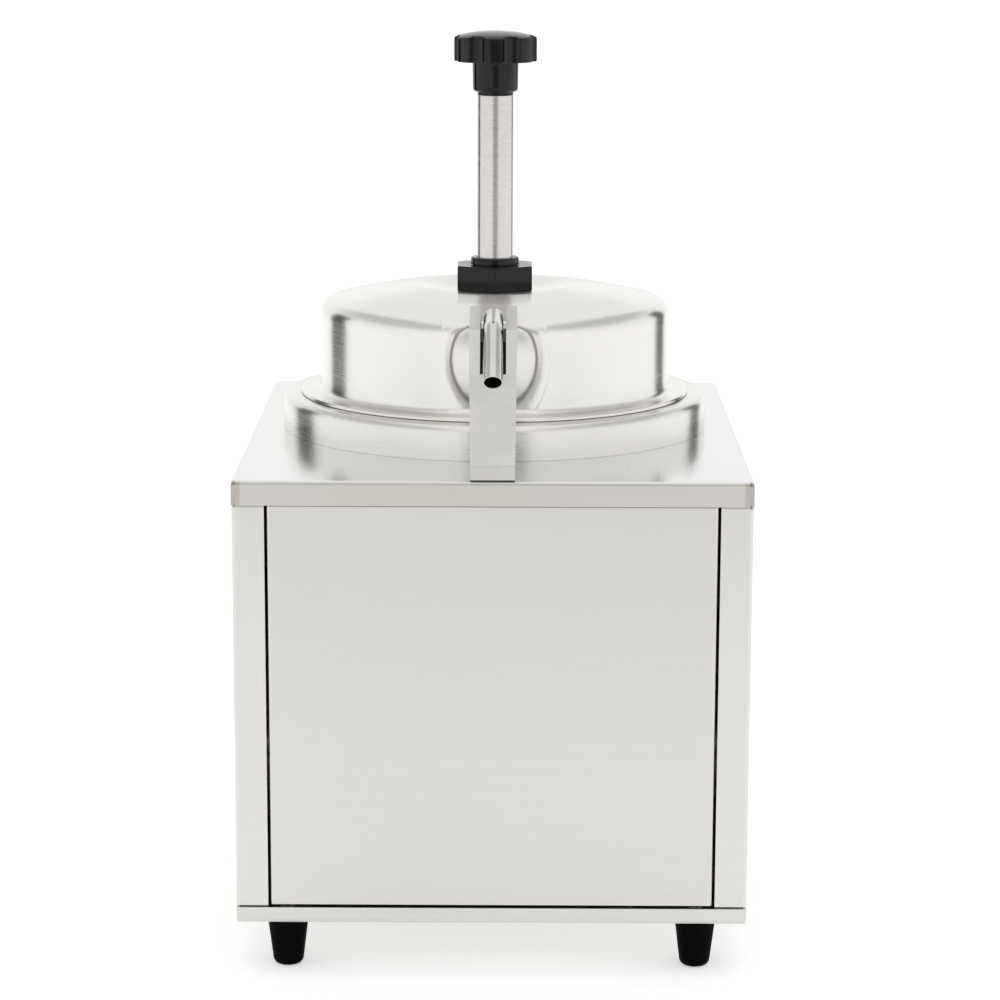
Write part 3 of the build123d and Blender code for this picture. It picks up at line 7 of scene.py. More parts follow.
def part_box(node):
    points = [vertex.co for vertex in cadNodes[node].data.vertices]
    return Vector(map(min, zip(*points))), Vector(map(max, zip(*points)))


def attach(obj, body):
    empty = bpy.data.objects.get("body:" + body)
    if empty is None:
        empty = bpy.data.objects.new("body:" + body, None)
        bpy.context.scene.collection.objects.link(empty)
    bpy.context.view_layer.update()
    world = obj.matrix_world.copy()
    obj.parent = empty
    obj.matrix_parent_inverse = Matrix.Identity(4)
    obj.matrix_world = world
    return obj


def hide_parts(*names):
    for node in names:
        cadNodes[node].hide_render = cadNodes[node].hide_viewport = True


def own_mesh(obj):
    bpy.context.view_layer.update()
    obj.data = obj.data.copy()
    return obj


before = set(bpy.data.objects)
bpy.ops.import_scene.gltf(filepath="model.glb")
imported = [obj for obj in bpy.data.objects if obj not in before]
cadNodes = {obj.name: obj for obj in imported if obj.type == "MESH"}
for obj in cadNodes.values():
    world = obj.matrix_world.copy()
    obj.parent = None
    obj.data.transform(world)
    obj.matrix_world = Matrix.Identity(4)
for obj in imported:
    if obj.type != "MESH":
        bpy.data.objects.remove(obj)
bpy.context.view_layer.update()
print("frame loaded with", len(cadNodes), "nodes")

mm = 0.001
coverLow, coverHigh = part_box("top_cover")
panLow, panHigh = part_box("base_pan")
deckTop = coverHigh.z
midY = (coverLow.y + coverHigh.y) / 2
wellY = midY + 12.5 * mm  # pump axis, behind the middle of the cabinet


# mesh tools

def wire(corners, plane="xz", closed=False, segments=6):  # corners are (a, b) or (a, b, rounding) in millimetres
    bm = bmesh.new()
    places = {"xz": lambda a, b: (a, 0, b), "xy": lambda a, b: (a, b, 0), "yz": lambda a, b: (0, a, b)}[plane]
    verts = [bm.verts.new(places(corner[0], corner[1])) for corner in corners]
    pairs = list(zip(verts, verts[1:])) + ([(verts[-1], verts[0])] if closed else [])
    for a, b in pairs:
        bm.edges.new((a, b))
    count = len(corners)
    for i, corner in enumerate(corners):
        rounding = corner[2] if len(corner) > 2 else 0
        if rounding:
            here = Vector(corner[:2])
            back = (here - Vector(corners[(i - 1) % count][:2])).normalized()
            on = (Vector(corners[(i + 1) % count][:2]) - here).normalized()
            turn = back.angle(on)
            bmesh.ops.bevel(bm, geom=[verts[i]], offset=rounding * tan(turn / 2), offset_type="OFFSET",
                            affect="VERTICES", segments=segments, profile=0.5, material=-1)
    return bm


def measureRun(bm, first):  # writes each vertex's distance along the wire, from the one nearest to first
    run = bm.verts.layers.float.new("run")
    bm.verts.ensure_lookup_table()
    here = min(bm.verts, key=lambda v: (v.co - Vector(first)).length)
    done, total = {here}, 0.0
    here[run] = 0.0
    while True:
        ahead = [e.other_vert(here) for e in here.link_edges if e.other_vert(here) not in done]
        if not ahead:
            return
        total += (ahead[0].co - here.co).length
        here = ahead[0]
        here[run] = total
        done.add(here)


def spun(corners, steps=192, closed=False, segments=6, cuts=None):
    # turns a wire of (radius, height, rounding) about the upright axis, in millimetres
    bm = wire(corners, "xz", closed, segments)
    if cuts:
        long = [e for e in bm.edges if e.calc_length() > cuts]
        for edge in long:
            bmesh.ops.subdivide_edges(bm, edges=[edge], cuts=int(edge.calc_length() / cuts))
    measureRun(bm, (corners[0][0], 0, corners[0][1]))
    bmesh.ops.spin(bm, geom=bm.verts[:] + bm.edges[:], cent=(0, 0, 0), axis=(0, 0, 1), dvec=(0, 0, 0),
                   angle=2 * pi, steps=steps, use_merge=True, use_normal_flip=False, use_duplicate=False)
    bmesh.ops.remove_doubles(bm, verts=bm.verts, dist=1e-5)
    bmesh.ops.recalc_face_normals(bm, faces=bm.faces)
    return bm


def onlyVerts(geom):
    return [g for g in geom if isinstance(g, bmesh.types.BMVert)]


def onlyEdges(geom):
    return [g for g in geom if isinstance(g, bmesh.types.BMEdge)]


def faceUp(bm):  # normals one way, and mostly upwards
    bmesh.ops.recalc_face_normals(bm, faces=bm.faces)
    if sum(f.normal.z * f.calc_area() for f in bm.faces) < 0:
        bmesh.ops.reverse_faces(bm, faces=bm.faces)


def prism(corners, plane, low, high, segments=5):
    # extrudes a closed outline in millimetres from low to high, square to its plane
    bm = wire(corners, plane, True, segments)
    face = bmesh.ops.contextual_create(bm, geom=bm.verts[:] + bm.edges[:])["faces"]
    up = {"xz": Vector((0, 1, 0)), "xy": Vector((0, 0, 1)), "yz": Vector((1, 0, 0))}[plane]
    bmesh.ops.translate(bm, verts=bm.verts, vec=up * low)
    grown = bmesh.ops.extrude_face_region(bm, geom=face)["geom"]
    bmesh.ops.translate(bm, verts=[v for v in grown if isinstance(v, bmesh.types.BMVert)], vec=up * (high - low))
    bmesh.ops.recalc_face_normals(bm, faces=bm.faces)
    return bm


def softenEdges(bm, width, angle=50, segments=2):  # bevels every edge that turns by more than the angle
    sharp = [e for e in bm.edges if len(e.link_faces) == 2 and e.calc_face_angle(0) > radians(angle)]
    bmesh.ops.bevel(bm, geom=sharp, offset=width, offset_type="OFFSET", affect="EDGES", segments=segments,
                    profile=0.5, material=-1, clamp_overlap=True)


def joinMeshes(parts):  # one bmesh out of several, which are freed
    whole = bmesh.new()
    for part in parts:
        mesh = bpy.data.meshes.new("part")
        part.to_mesh(mesh)
        part.free()
        whole.from_mesh(mesh)
        bpy.data.meshes.remove(mesh)
    return whole


def place(bm, origin, turn=None):  # millimetres to metres, then turned and moved to its origin
    bmesh.ops.scale(bm, verts=bm.verts, vec=(mm, mm, mm))
    if turn is not None:
        bmesh.ops.transform(bm, matrix=turn.to_4x4(), verts=bm.verts)
    bmesh.ops.translate(bm, verts=bm.verts, vec=origin)
    return bm


def brushMap(bm, centre):
    # uV map whose U runs round the axis and V along the section, for the direction of the brushing
    run = bm.verts.layers.float.get("run")
    uv = bm.loops.layers.uv.new("brush")
    for face in bm.faces:
        middle = face.calc_center_median()
        faceAngle = atan2(middle.y - centre[1], middle.x - centre[0])
        for loop in face.loops:
            co = loop.vert.co
            away = Vector((co.x - centre[0], co.y - centre[1]))
            angle = atan2(away.y, away.x) if away.length > 1e-5 else faceAngle
            angle = faceAngle + (angle - faceAngle + pi) % (2 * pi) - pi
            loop[uv].uv = (angle / (2 * pi), loop.vert[run] * mm * 4 if run else co.z * 4)


def finishPiece(bm, name, material, body, replaced=(), smooth=32, weighted=False):
    mesh = bpy.data.meshes.new(name)
    bm.normal_update()
    bm.to_mesh(mesh)
    bm.free()
    mesh.shade_smooth()
    mesh.set_sharp_from_angle(angle=radians(smooth))
    mesh.materials.append(material)
    piece = bpy.data.objects.new(name, mesh)
    bpy.context.scene.collection.objects.link(piece)
    if weighted:
        even = piece.modifiers.new("evenShading", "WEIGHTED_NORMAL")
        even.keep_sharp = True
        even.weight = 100
    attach(piece, body)
    if replaced:
        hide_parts(*replaced)
    return piece


onPump = (0, wellY, deckTop)


def spunPiece(corners, name, material, body, slotName, replaced, origin=onPump, **options):
    bm = place(spun(corners, **options), origin)
    brushMap(bm, origin)
    return finishPiece(bm, name, material, body, replaced)


# shader groups

def newGroup(name, inputs, outputs):
    group = bpy.data.node_groups.new(name, "ShaderNodeTree")
    for label, kind, value in inputs:
        socket = group.interface.new_socket(label, in_out="INPUT", socket_type=kind)
        if value is not None:
            socket.default_value = value
    for label, kind in outputs:
        group.interface.new_socket(label, in_out="OUTPUT", socket_type=kind)
    start = group.nodes.new("NodeGroupInput")
    end = group.nodes.new("NodeGroupOutput")
    return group, start, end


def addNode(tree, kind, settings=None, **inputs):
    node = tree.nodes.new(kind)
    for key, value in (settings or {}).items():
        setattr(node, key, value)
    for key, value in inputs.items():
        label = int(key[1:]) if key[0] == "n" and key[1:].isdigit() else key
        if isinstance(value, bpy.types.NodeSocket):
            tree.links.new(value, node.inputs[label])
        else:
            node.inputs[label].default_value = value
    return node


def mathNode(tree, operation, a, b=0.0, clamp=False):
    return addNode(tree, "ShaderNodeMath", {"operation": operation, "use_clamp": clamp}, n0=a, n1=b).outputs[0]


def mapRange(tree, value, fromLow, fromHigh, toLow, toHigh):
    node = addNode(tree, "ShaderNodeMapRange", {"clamp": True}, Value=value)
    for label, number in zip(("From Min", "From Max", "To Min", "To Max"), (fromLow, fromHigh, toLow, toHigh)):
        node.inputs[label].default_value = number
    return node.outputs[0]


# streaks of a brushed finish; the vector comes in already stretched along the brushing
brushGroup, start, end = newGroup("brushStreaks", [("Vector", "NodeSocketVector", None)],
                                  [("Tone", "NodeSocketFloat"), ("Height", "NodeSocketFloat")])
coarse = addNode(brushGroup, "ShaderNodeTexNoise", Vector=start.outputs["Vector"], Scale=1.0,
                 Detail=3.0, Roughness=0.62)
closer = addNode(brushGroup, "ShaderNodeVectorMath", {"operation": "SCALE"}, n0=start.outputs["Vector"], Scale=3.7)
fine = addNode(brushGroup, "ShaderNodeTexNoise", Vector=closer.outputs[0], Scale=1.0, Detail=2.0, Roughness=0.5)
both = mathNode(brushGroup, "ADD", mathNode(brushGroup, "MULTIPLY", coarse.outputs["Fac"], 0.6),
                mathNode(brushGroup, "MULTIPLY", fine.outputs["Fac"], 0.4))
brushGroup.links.new(mapRange(brushGroup, both, 0.32, 0.68, 0.0, 1.0), end.inputs["Tone"])
brushGroup.links.new(both, end.inputs["Height"])

# large soft patches, as handling and cleaning leave on metal and plastic
patchGroup, start, end = newGroup("softPatches", [("Vector", "NodeSocketVector", None),
                                                  ("Scale", "NodeSocketFloat", 12.0)],
                                  [("Mask", "NodeSocketFloat")])
cloud = addNode(patchGroup, "ShaderNodeTexNoise", Vector=start.outputs["Vector"], Scale=start.outputs["Scale"],
                Detail=4.0, Roughness=0.55, Distortion=0.4)
patchGroup.links.new(mapRange(patchGroup, cloud.outputs["Fac"], 0.35, 0.70, 0.0, 1.0), end.inputs["Mask"])

# short fine scratches and specks
scratchGroup, start, end = newGroup("fineScratches", [("Vector", "NodeSocketVector", None),
                                                      ("Scale", "NodeSocketFloat", 60.0)],
                                    [("Mask", "NodeSocketFloat")])
cells = addNode(scratchGroup, "ShaderNodeTexVoronoi", {"feature": "DISTANCE_TO_EDGE"},
                Vector=start.outputs["Vector"], Scale=start.outputs["Scale"], Randomness=1.0)
line = mapRange(scratchGroup, cells.outputs["Distance"], 0.0, 0.035, 1.0, 0.0)
gate = addNode(scratchGroup, "ShaderNodeTexNoise", Vector=start.outputs["Vector"], Scale=start.outputs["Scale"],
               Detail=2.0, Roughness=0.6)
keep = mapRange(scratchGroup, gate.outputs["Fac"], 0.62, 0.70, 0.0, 1.0)
scratchGroup.links.new(mathNode(scratchGroup, "MULTIPLY", line, keep), end.inputs["Mask"])

# grain of a moulded plastic or rubber surface
mouldGroup, start, end = newGroup("mouldGrain", [("Vector", "NodeSocketVector", None),
                                                 ("Scale", "NodeSocketFloat", 900.0)],
                                  [("Tone", "NodeSocketFloat"), ("Height", "NodeSocketFloat")])
grain = addNode(mouldGroup, "ShaderNodeTexNoise", Vector=start.outputs["Vector"], Scale=start.outputs["Scale"],
                Detail=3.0, Roughness=0.6)
flow = addNode(mouldGroup, "ShaderNodeTexNoise", Vector=start.outputs["Vector"], Scale=70.0,
               Detail=2.0, Roughness=0.5)
mouldGroup.links.new(mapRange(mouldGroup, flow.outputs["Fac"], 0.35, 0.65, 0.0, 1.0), end.inputs["Tone"])
mouldGroup.links.new(grain.outputs["Fac"], end.inputs["Height"])

# 1 inside a box given by two corners, for printed marks and painted shade
boxGroup, start, end = newGroup("boxMask", [(name, "NodeSocketVector", None) for name in ("Vector", "Least", "Most")],
                                [("Mask", "NodeSocketFloat")])
point, least, most = (addNode(boxGroup, "ShaderNodeSeparateXYZ", Vector=start.outputs[name])
                      for name in ("Vector", "Least", "Most"))
within = 1.0
for axis in "XYZ":
    over = mathNode(boxGroup, "GREATER_THAN", point.outputs[axis], least.outputs[axis])
    under = mathNode(boxGroup, "LESS_THAN", point.outputs[axis], most.outputs[axis])
    within = mathNode(boxGroup, "MULTIPLY", within, mathNode(boxGroup, "MULTIPLY", over, under))
boxGroup.links.new(within, end.inputs["Mask"])


def placeGroup(tree, group, **inputs):
    node = tree.nodes.new("ShaderNodeGroup")
    node.node_tree = group
    for label, value in inputs.items():
        if isinstance(value, bpy.types.NodeSocket):
            tree.links.new(value, node.inputs[label])
        else:
            node.inputs[label].default_value = value
    return node


def startMaterial(name):
    material = bpy.data.materials.new(name)
    material.use_nodes = True
    tree = material.node_tree
    shader = tree.nodes["Principled BSDF"]
    coords = tree.nodes.new("ShaderNodeTexCoord")
    return material, tree, shader, coords.outputs["Object"]


def blendColour(tree, mask, dark, light):
    node = addNode(tree, "ShaderNodeMix", {"data_type": "RGBA"})
    tree.links.new(mask, node.inputs["Factor"])
    node.inputs["A"].default_value = (*dark, 1)
    node.inputs["B"].default_value = (*light, 1)
    return node.outputs["Result"]


def bumpNormal(tree, shader, height, strength, distance):
    bump = addNode(tree, "ShaderNodeBump", Height=height, Strength=strength, Distance=distance)
    tree.links.new(bump.outputs["Normal"], shader.inputs["Normal"])


def sheetSteel(name, dark, light, roughness, stretch, bump=0.05, patches=9.0, anisotropic=0.0, lips=None):
    # flat brushed sheet; stretch scales the object coordinates, small along the brushing
    material, tree, shader, position = startMaterial(name)
    mapping = addNode(tree, "ShaderNodeMapping", Vector=position, Scale=stretch)
    streaks = placeGroup(tree, brushGroup, Vector=mapping.outputs["Vector"])
    cloud = placeGroup(tree, patchGroup, Vector=position, Scale=patches)
    tone = mathNode(tree, "ADD", mathNode(tree, "MULTIPLY", streaks.outputs["Tone"], 0.6),
                    mathNode(tree, "MULTIPLY", cloud.outputs["Mask"], 0.4))
    colour = blendColour(tree, tone, dark, light)
    if lips:  # height where the sheet turns down, and the colour of painted shade on the lips, uneven by soft patches
        split = addNode(tree, "ShaderNodeSeparateXYZ", Vector=position)
        below = mapRange(tree, split.outputs["Z"], lips[0] - 0.0008, lips[0] - 0.0001, 1.0, 0.0)
        lipShade = mathNode(tree, "MULTIPLY", below, mapRange(tree, cloud.outputs["Mask"], 0.0, 1.0, 0.75, 1.0))
        darker = addNode(tree, "ShaderNodeMix", {"data_type": "RGBA", "blend_type": "MULTIPLY"}, Factor=lipShade)
        tree.links.new(colour, darker.inputs["A"])
        darker.inputs["B"].default_value = (*lips[1], 1)
        # painted shade, deeper still at the ends of the lips
        reach = mathNode(tree, "ABSOLUTE", split.outputs["X"])
        ends = mathNode(tree, "MULTIPLY", lipShade, mapRange(tree, reach, 0.1098, 0.1108, 0.0, 1.0))
        shadedLipEnds = addNode(tree, "ShaderNodeMix", {"data_type": "RGBA", "blend_type": "MULTIPLY"}, Factor=ends)
        tree.links.new(darker.outputs["Result"], shadedLipEnds.inputs["A"])
        shadedLipEnds.inputs["B"].default_value = (0.78, 0.75, 0.71, 1)
        colour = shadedLipEnds.outputs["Result"]
    tree.links.new(colour, shader.inputs["Base Color"])
    rough = mathNode(tree, "ADD", mapRange(tree, streaks.outputs["Tone"], 0.0, 1.0, roughness[0], roughness[1]),
                     mathNode(tree, "MULTIPLY", cloud.outputs["Mask"], 0.04))
    if lips:
        rough = mathNode(tree, "ADD", rough, mathNode(tree, "MULTIPLY", below, 0.22))
    tree.links.new(rough, shader.inputs["Roughness"])
    bumpNormal(tree, shader, streaks.outputs["Height"], bump, 0.0002)
    shader.inputs["Metallic"].default_value = 1.0
    shader.inputs["Anisotropic"].default_value = anisotropic
    return material


def spunSteel(name, dark, light, roughness, rings, bump=0.06, anisotropic=0.6, centre=(0, wellY, 0)):
    # steel brushed round an upright axis; rings is how many streaks go to a metre
    material, tree, shader, position = startMaterial(name)
    mapping = addNode(tree, "ShaderNodeMapping", {"vector_type": "POINT"}, Vector=position,
                      Location=(-centre[0], -centre[1], 0))
    split = addNode(tree, "ShaderNodeSeparateXYZ", Vector=mapping.outputs["Vector"])
    flat = addNode(tree, "ShaderNodeCombineXYZ", X=split.outputs["X"], Y=split.outputs["Y"])
    reach = addNode(tree, "ShaderNodeVectorMath", {"operation": "LENGTH"}, n0=flat.outputs[0])
    around = addNode(tree, "ShaderNodeVectorMath", {"operation": "NORMALIZE"}, n0=flat.outputs[0])
    along = mathNode(tree, "SUBTRACT", reach.outputs["Value"], split.outputs["Z"])
    turned = addNode(tree, "ShaderNodeSeparateXYZ", Vector=around.outputs[0])
    vector = addNode(tree, "ShaderNodeCombineXYZ", X=mathNode(tree, "MULTIPLY", turned.outputs["X"], 1.6),
                     Y=mathNode(tree, "MULTIPLY", turned.outputs["Y"], 1.6),
                     Z=mathNode(tree, "MULTIPLY", along, rings))
    streaks = placeGroup(tree, brushGroup, Vector=vector.outputs[0])
    cloud = placeGroup(tree, patchGroup, Vector=position, Scale=14.0)
    tone = mathNode(tree, "ADD", mathNode(tree, "MULTIPLY", streaks.outputs["Tone"], 0.7),
                    mathNode(tree, "MULTIPLY", cloud.outputs["Mask"], 0.3))
    tree.links.new(blendColour(tree, tone, dark, light), shader.inputs["Base Color"])
    rough = mathNode(tree, "ADD", mapRange(tree, streaks.outputs["Tone"], 0.0, 1.0, roughness[0], roughness[1]),
                     mathNode(tree, "MULTIPLY", cloud.outputs["Mask"], 0.03))
    tree.links.new(rough, shader.inputs["Roughness"])
    bumpNormal(tree, shader, streaks.outputs["Height"], bump, 0.0002)
    shader.inputs["Metallic"].default_value = 1.0
    shader.inputs["Anisotropic"].default_value = anisotropic
    shader.inputs["Anisotropic Rotation"].default_value = 0.25  # highlights stretch across the brushing
    tangent = tree.nodes.new("ShaderNodeTangent")
    tangent.direction_type = "UV_MAP"
    tangent.uv_map = "brush"
    tree.links.new(tangent.outputs["Tangent"], shader.inputs["Tangent"])
    return material


def plainMetal(name, dark, light, roughness, scale=40.0, metallic=1.0, bump=0.03):
    material, tree, shader, position = startMaterial(name)
    cloud = placeGroup(tree, patchGroup, Vector=position, Scale=scale)
    marks = placeGroup(tree, scratchGroup, Vector=position, Scale=scale * 6)
    tree.links.new(blendColour(tree, cloud.outputs["Mask"], dark, light), shader.inputs["Base Color"])
    rough = mathNode(tree, "ADD", mapRange(tree, cloud.outputs["Mask"], 0.0, 1.0, roughness[0], roughness[1]),
                     mathNode(tree, "MULTIPLY", marks.outputs["Mask"], 0.15))
    tree.links.new(rough, shader.inputs["Roughness"])
    bumpNormal(tree, shader, marks.outputs["Mask"], bump, 0.0001)
    shader.inputs["Metallic"].default_value = metallic
    return material


def moulded(name, dark, light, roughness, gloss=0.5, grainScale=900.0, bump=0.05):
    material, tree, shader, position = startMaterial(name)
    skin = placeGroup(tree, mouldGroup, Vector=position, Scale=grainScale)
    marks = placeGroup(tree, scratchGroup, Vector=position, Scale=220.0)
    tree.links.new(blendColour(tree, skin.outputs["Tone"], dark, light), shader.inputs["Base Color"])
    rough = mathNode(tree, "ADD", mapRange(tree, skin.outputs["Tone"], 0.0, 1.0, roughness[0], roughness[1]),
                     mathNode(tree, "MULTIPLY", marks.outputs["Mask"], 0.2))
    tree.links.new(rough, shader.inputs["Roughness"])
    bumpNormal(tree, shader, skin.outputs["Height"], bump, 0.0001)
    shader.inputs["Specular IOR Level"].default_value = gloss
    return material


def paintOver(material, colour, ring=None, **limits):  # a flat colour between limits of the object coordinates
    tree = material.node_tree
    shader = tree.nodes["Principled BSDF"]
    coords = next(node for node in tree.nodes if node.type == "TEX_COORD")
    spans = [limits.get(axis, (-1, 1)) for axis in "xyz"]
    box = placeGroup(tree, boxGroup, Vector=coords.outputs["Object"], Least=[span[0] for span in spans],
                     Most=[span[1] for span in spans])
    mask = box.outputs["Mask"]
    if ring:  # x and z of its centre, inner and outer radius
        split = addNode(tree, "ShaderNodeSeparateXYZ", Vector=coords.outputs["Object"])
        across = mathNode(tree, "SUBTRACT", split.outputs["X"], ring[0])
        upwards = mathNode(tree, "SUBTRACT", split.outputs["Z"], ring[1])
        squares = mathNode(tree, "ADD", mathNode(tree, "POWER", across, 2.0),
                           mathNode(tree, "POWER", upwards, 2.0))
        reach = mathNode(tree, "SQRT", squares)
        mask = mathNode(tree, "MULTIPLY", mask, mathNode(tree, "GREATER_THAN", reach, ring[2]))
        mask = mathNode(tree, "MULTIPLY", mask, mathNode(tree, "LESS_THAN", reach, ring[3]))
    clean = shader.inputs["Base Color"].links[0].from_socket
    mix = addNode(tree, "ShaderNodeMix", {"data_type": "RGBA"}, Factor=mask)
    tree.links.new(clean, mix.inputs["A"])
    mix.inputs["B"].default_value = (*colour, 1)
    tree.links.new(mix.outputs["Result"], shader.inputs["Base Color"])


frontSteel = sheetSteel("frontPanelSteel", (0.69, 0.677, 0.647), (0.75, 0.737, 0.707), (0.26, 0.34), (3, 120, 900))
sideSteel = sheetSteel("sidePanelSteel", (0.72, 0.71, 0.68), (0.78, 0.77, 0.74), (0.26, 0.34), (900, 3, 900))
# the deck's turned-down lips get painted shade
deckSteel = sheetSteel("deckSteel", (0.80, 0.80, 0.785), (0.86, 0.86, 0.845), (0.13, 0.19), (3, 700, 700),
                       lips=(deckTop, (0.80, 0.775, 0.74)))
panSteel = sheetSteel("basePanSteel", (0.69, 0.68, 0.65), (0.76, 0.75, 0.72), (0.28, 0.36), (3, 700, 900))
lidSteel = spunSteel("lidSteel", (0.79, 0.775, 0.74), (0.88, 0.865, 0.83), (0.20, 0.27), 2600, anisotropic=0.8)
collarSteel = spunSteel("collarSteel", (0.76, 0.745, 0.71), (0.85, 0.835, 0.80), (0.22, 0.29), 2400,
                        anisotropic=0.75)
vesselSteel = spunSteel("vesselSteel", (0.66, 0.65, 0.63), (0.76, 0.75, 0.73), (0.28, 0.38), 1800)
pumpSteel = spunSteel("pumpTubeSteel", (0.62, 0.60, 0.57), (0.74, 0.725, 0.69), (0.20, 0.28), 900, anisotropic=0.3)
innerSteel = plainMetal("pumpInnerSteel", (0.64, 0.63, 0.61), (0.74, 0.73, 0.71), (0.12, 0.22))
cradleMetal = plainMetal("cradleAluminium", (0.64, 0.632, 0.61), (0.72, 0.712, 0.69), (0.30, 0.42), 60.0)
screwMetal = plainMetal("screwPlating", (0.60, 0.60, 0.60), (0.72, 0.72, 0.72), (0.16, 0.28), 120.0)
heaterMetal = plainMetal("heaterSheath", (0.30, 0.28, 0.25), (0.48, 0.45, 0.41), (0.38, 0.52), 60.0)
dialMetal = plainMetal("dialMetal", (0.55, 0.55, 0.54), (0.66, 0.66, 0.65), (0.30, 0.40), 80.0)
blackPlastic = moulded("blackPlastic", (0.002, 0.002, 0.002), (0.005, 0.005, 0.005), (0.10, 0.17), 0.32)
feetRubber = moulded("feetRubber", (0.002, 0.002, 0.002), (0.004, 0.004, 0.004), (0.50, 0.62), 0.02, 1400.0, 0.10)
dialPlastic = moulded("dialPlastic", (0.004, 0.004, 0.004), (0.008, 0.008, 0.008), (0.20, 0.30), 0.4)
rockerPlastic = moulded("rockerPlastic", (0.004, 0.004, 0.004), (0.008, 0.008, 0.008), (0.16, 0.26), 0.4)
sealRubber = moulded("sealRubber", (0.05, 0.05, 0.05), (0.09, 0.09, 0.09), (0.50, 0.62), 0.4)
palePlastic = moulded("palePlastic", (0.70, 0.69, 0.65), (0.78, 0.77, 0.73), (0.40, 0.50))
markPaint = moulded("dialPrint", (0.02, 0.02, 0.02), (0.03, 0.03, 0.03), (0.45, 0.55))

marks = {
    "white": (0.75, 0.75, 0.73), "slotShade": (0.012, 0.012, 0.012),
    "shadeUnderLipFront": (0.30, 0.28, 0.26), "shadeUnderLipSide": (0.50, 0.48, 0.45),  # painted shade: dark line under the top cover's lip
    "shadeUnderLipFrontDrop": 11.72, "shadeUnderLipSideDrop": 11.96,                    # below the deck
    "slotHalf": 5.65, "slotFoot": 47.4,                               # painted shade in the slot of the cradle
    "pointer": (0.6, 1.6, 7.0, 15.5),                                 # half width, depth, start and end
    "bar": (3.6, 4.2, 1.6), "ring": (3.8, 1.0, 1.5),                  # signs on the rocker
}
white = marks["white"]
# painted shade: dark lines on the front panel and side folds just under the lip of the top cover
paintOver(frontSteel, marks["shadeUnderLipFront"], z=(deckTop - marks["shadeUnderLipFrontDrop"] * mm, 1.0))
paintOver(sideSteel, marks["shadeUnderLipSide"], z=(deckTop - marks["shadeUnderLipSideDrop"] * mm, 1.0))
slotHalf = marks["slotHalf"] * mm
# painted shade: the inside of the cradle's slot is painted near black
paintOver(cradleMetal, marks["slotShade"], x=(-slotHalf, slotHalf), z=(deckTop + marks["slotFoot"] * mm, 1.0))
low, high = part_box("thermostat_knob")
dialX, dialZ = (low.x + high.x) / 2, (low.z + high.z) / 2
half, depth, near, far = (value * mm for value in marks["pointer"])
paintOver(dialPlastic, white, x=(dialX - half, dialX + half), y=(high.y - depth, 1.0), z=(dialZ + near, dialZ + far))
low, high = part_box("power_rocker")
rockerX, rockerZ = (low.x + high.x) / 2, (low.z + high.z) / 2
near, far, half = (value * mm for value in marks["bar"])
paintOver(rockerPlastic, white, x=(rockerX - far, rockerX - near), z=(rockerZ - half, rockerZ + half))
offset, inner, outer = (value * mm for value in marks["ring"])
paintOver(rockerPlastic, white, ring=(rockerX + offset, rockerZ, inner, outer))

lensAmber, tree, shader, position = startMaterial("lensAmber")
skin = placeGroup(tree, mouldGroup, Vector=position, Scale=500.0)
amber = blendColour(tree, skin.outputs["Tone"], (0.80, 0.20, 0.02), (0.90, 0.30, 0.03))
tree.links.new(amber, shader.inputs["Base Color"])
tree.links.new(mapRange(tree, skin.outputs["Tone"], 0.0, 1.0, 0.10, 0.16), shader.inputs["Roughness"])
shader.inputs["Transmission Weight"].default_value = 0.55
shader.inputs["IOR"].default_value = 1.49
print("materials made")

# cabinet

sheetCabinet = {
    "bend": 1.6,          # outer radius of the folds
    "sheet": 1.2,
    "lip": 11.0,          # top cover's turned-down lip
    "lipEnd": 112.3,      # half length of its front and rear lips
    "relief": 0.9,        # notch at the corners of the deck
    "lipReach": 0.78,     # of the lips past the notch
    "lipCorner": 1.6,
    "opening": 90.0,
    "panelSetback": 1.4,  # front panel and side folds behind the lip
    "fold": 14.3,
    "seam": 1.0,
    "lipSeam": 0.35,      # between the side folds and the base pan's lip
    "panCorner": 2.6,
}
halfWidth = coverHigh.x / mm
halfDepth = (coverHigh.y - coverLow.y) / 2 / mm


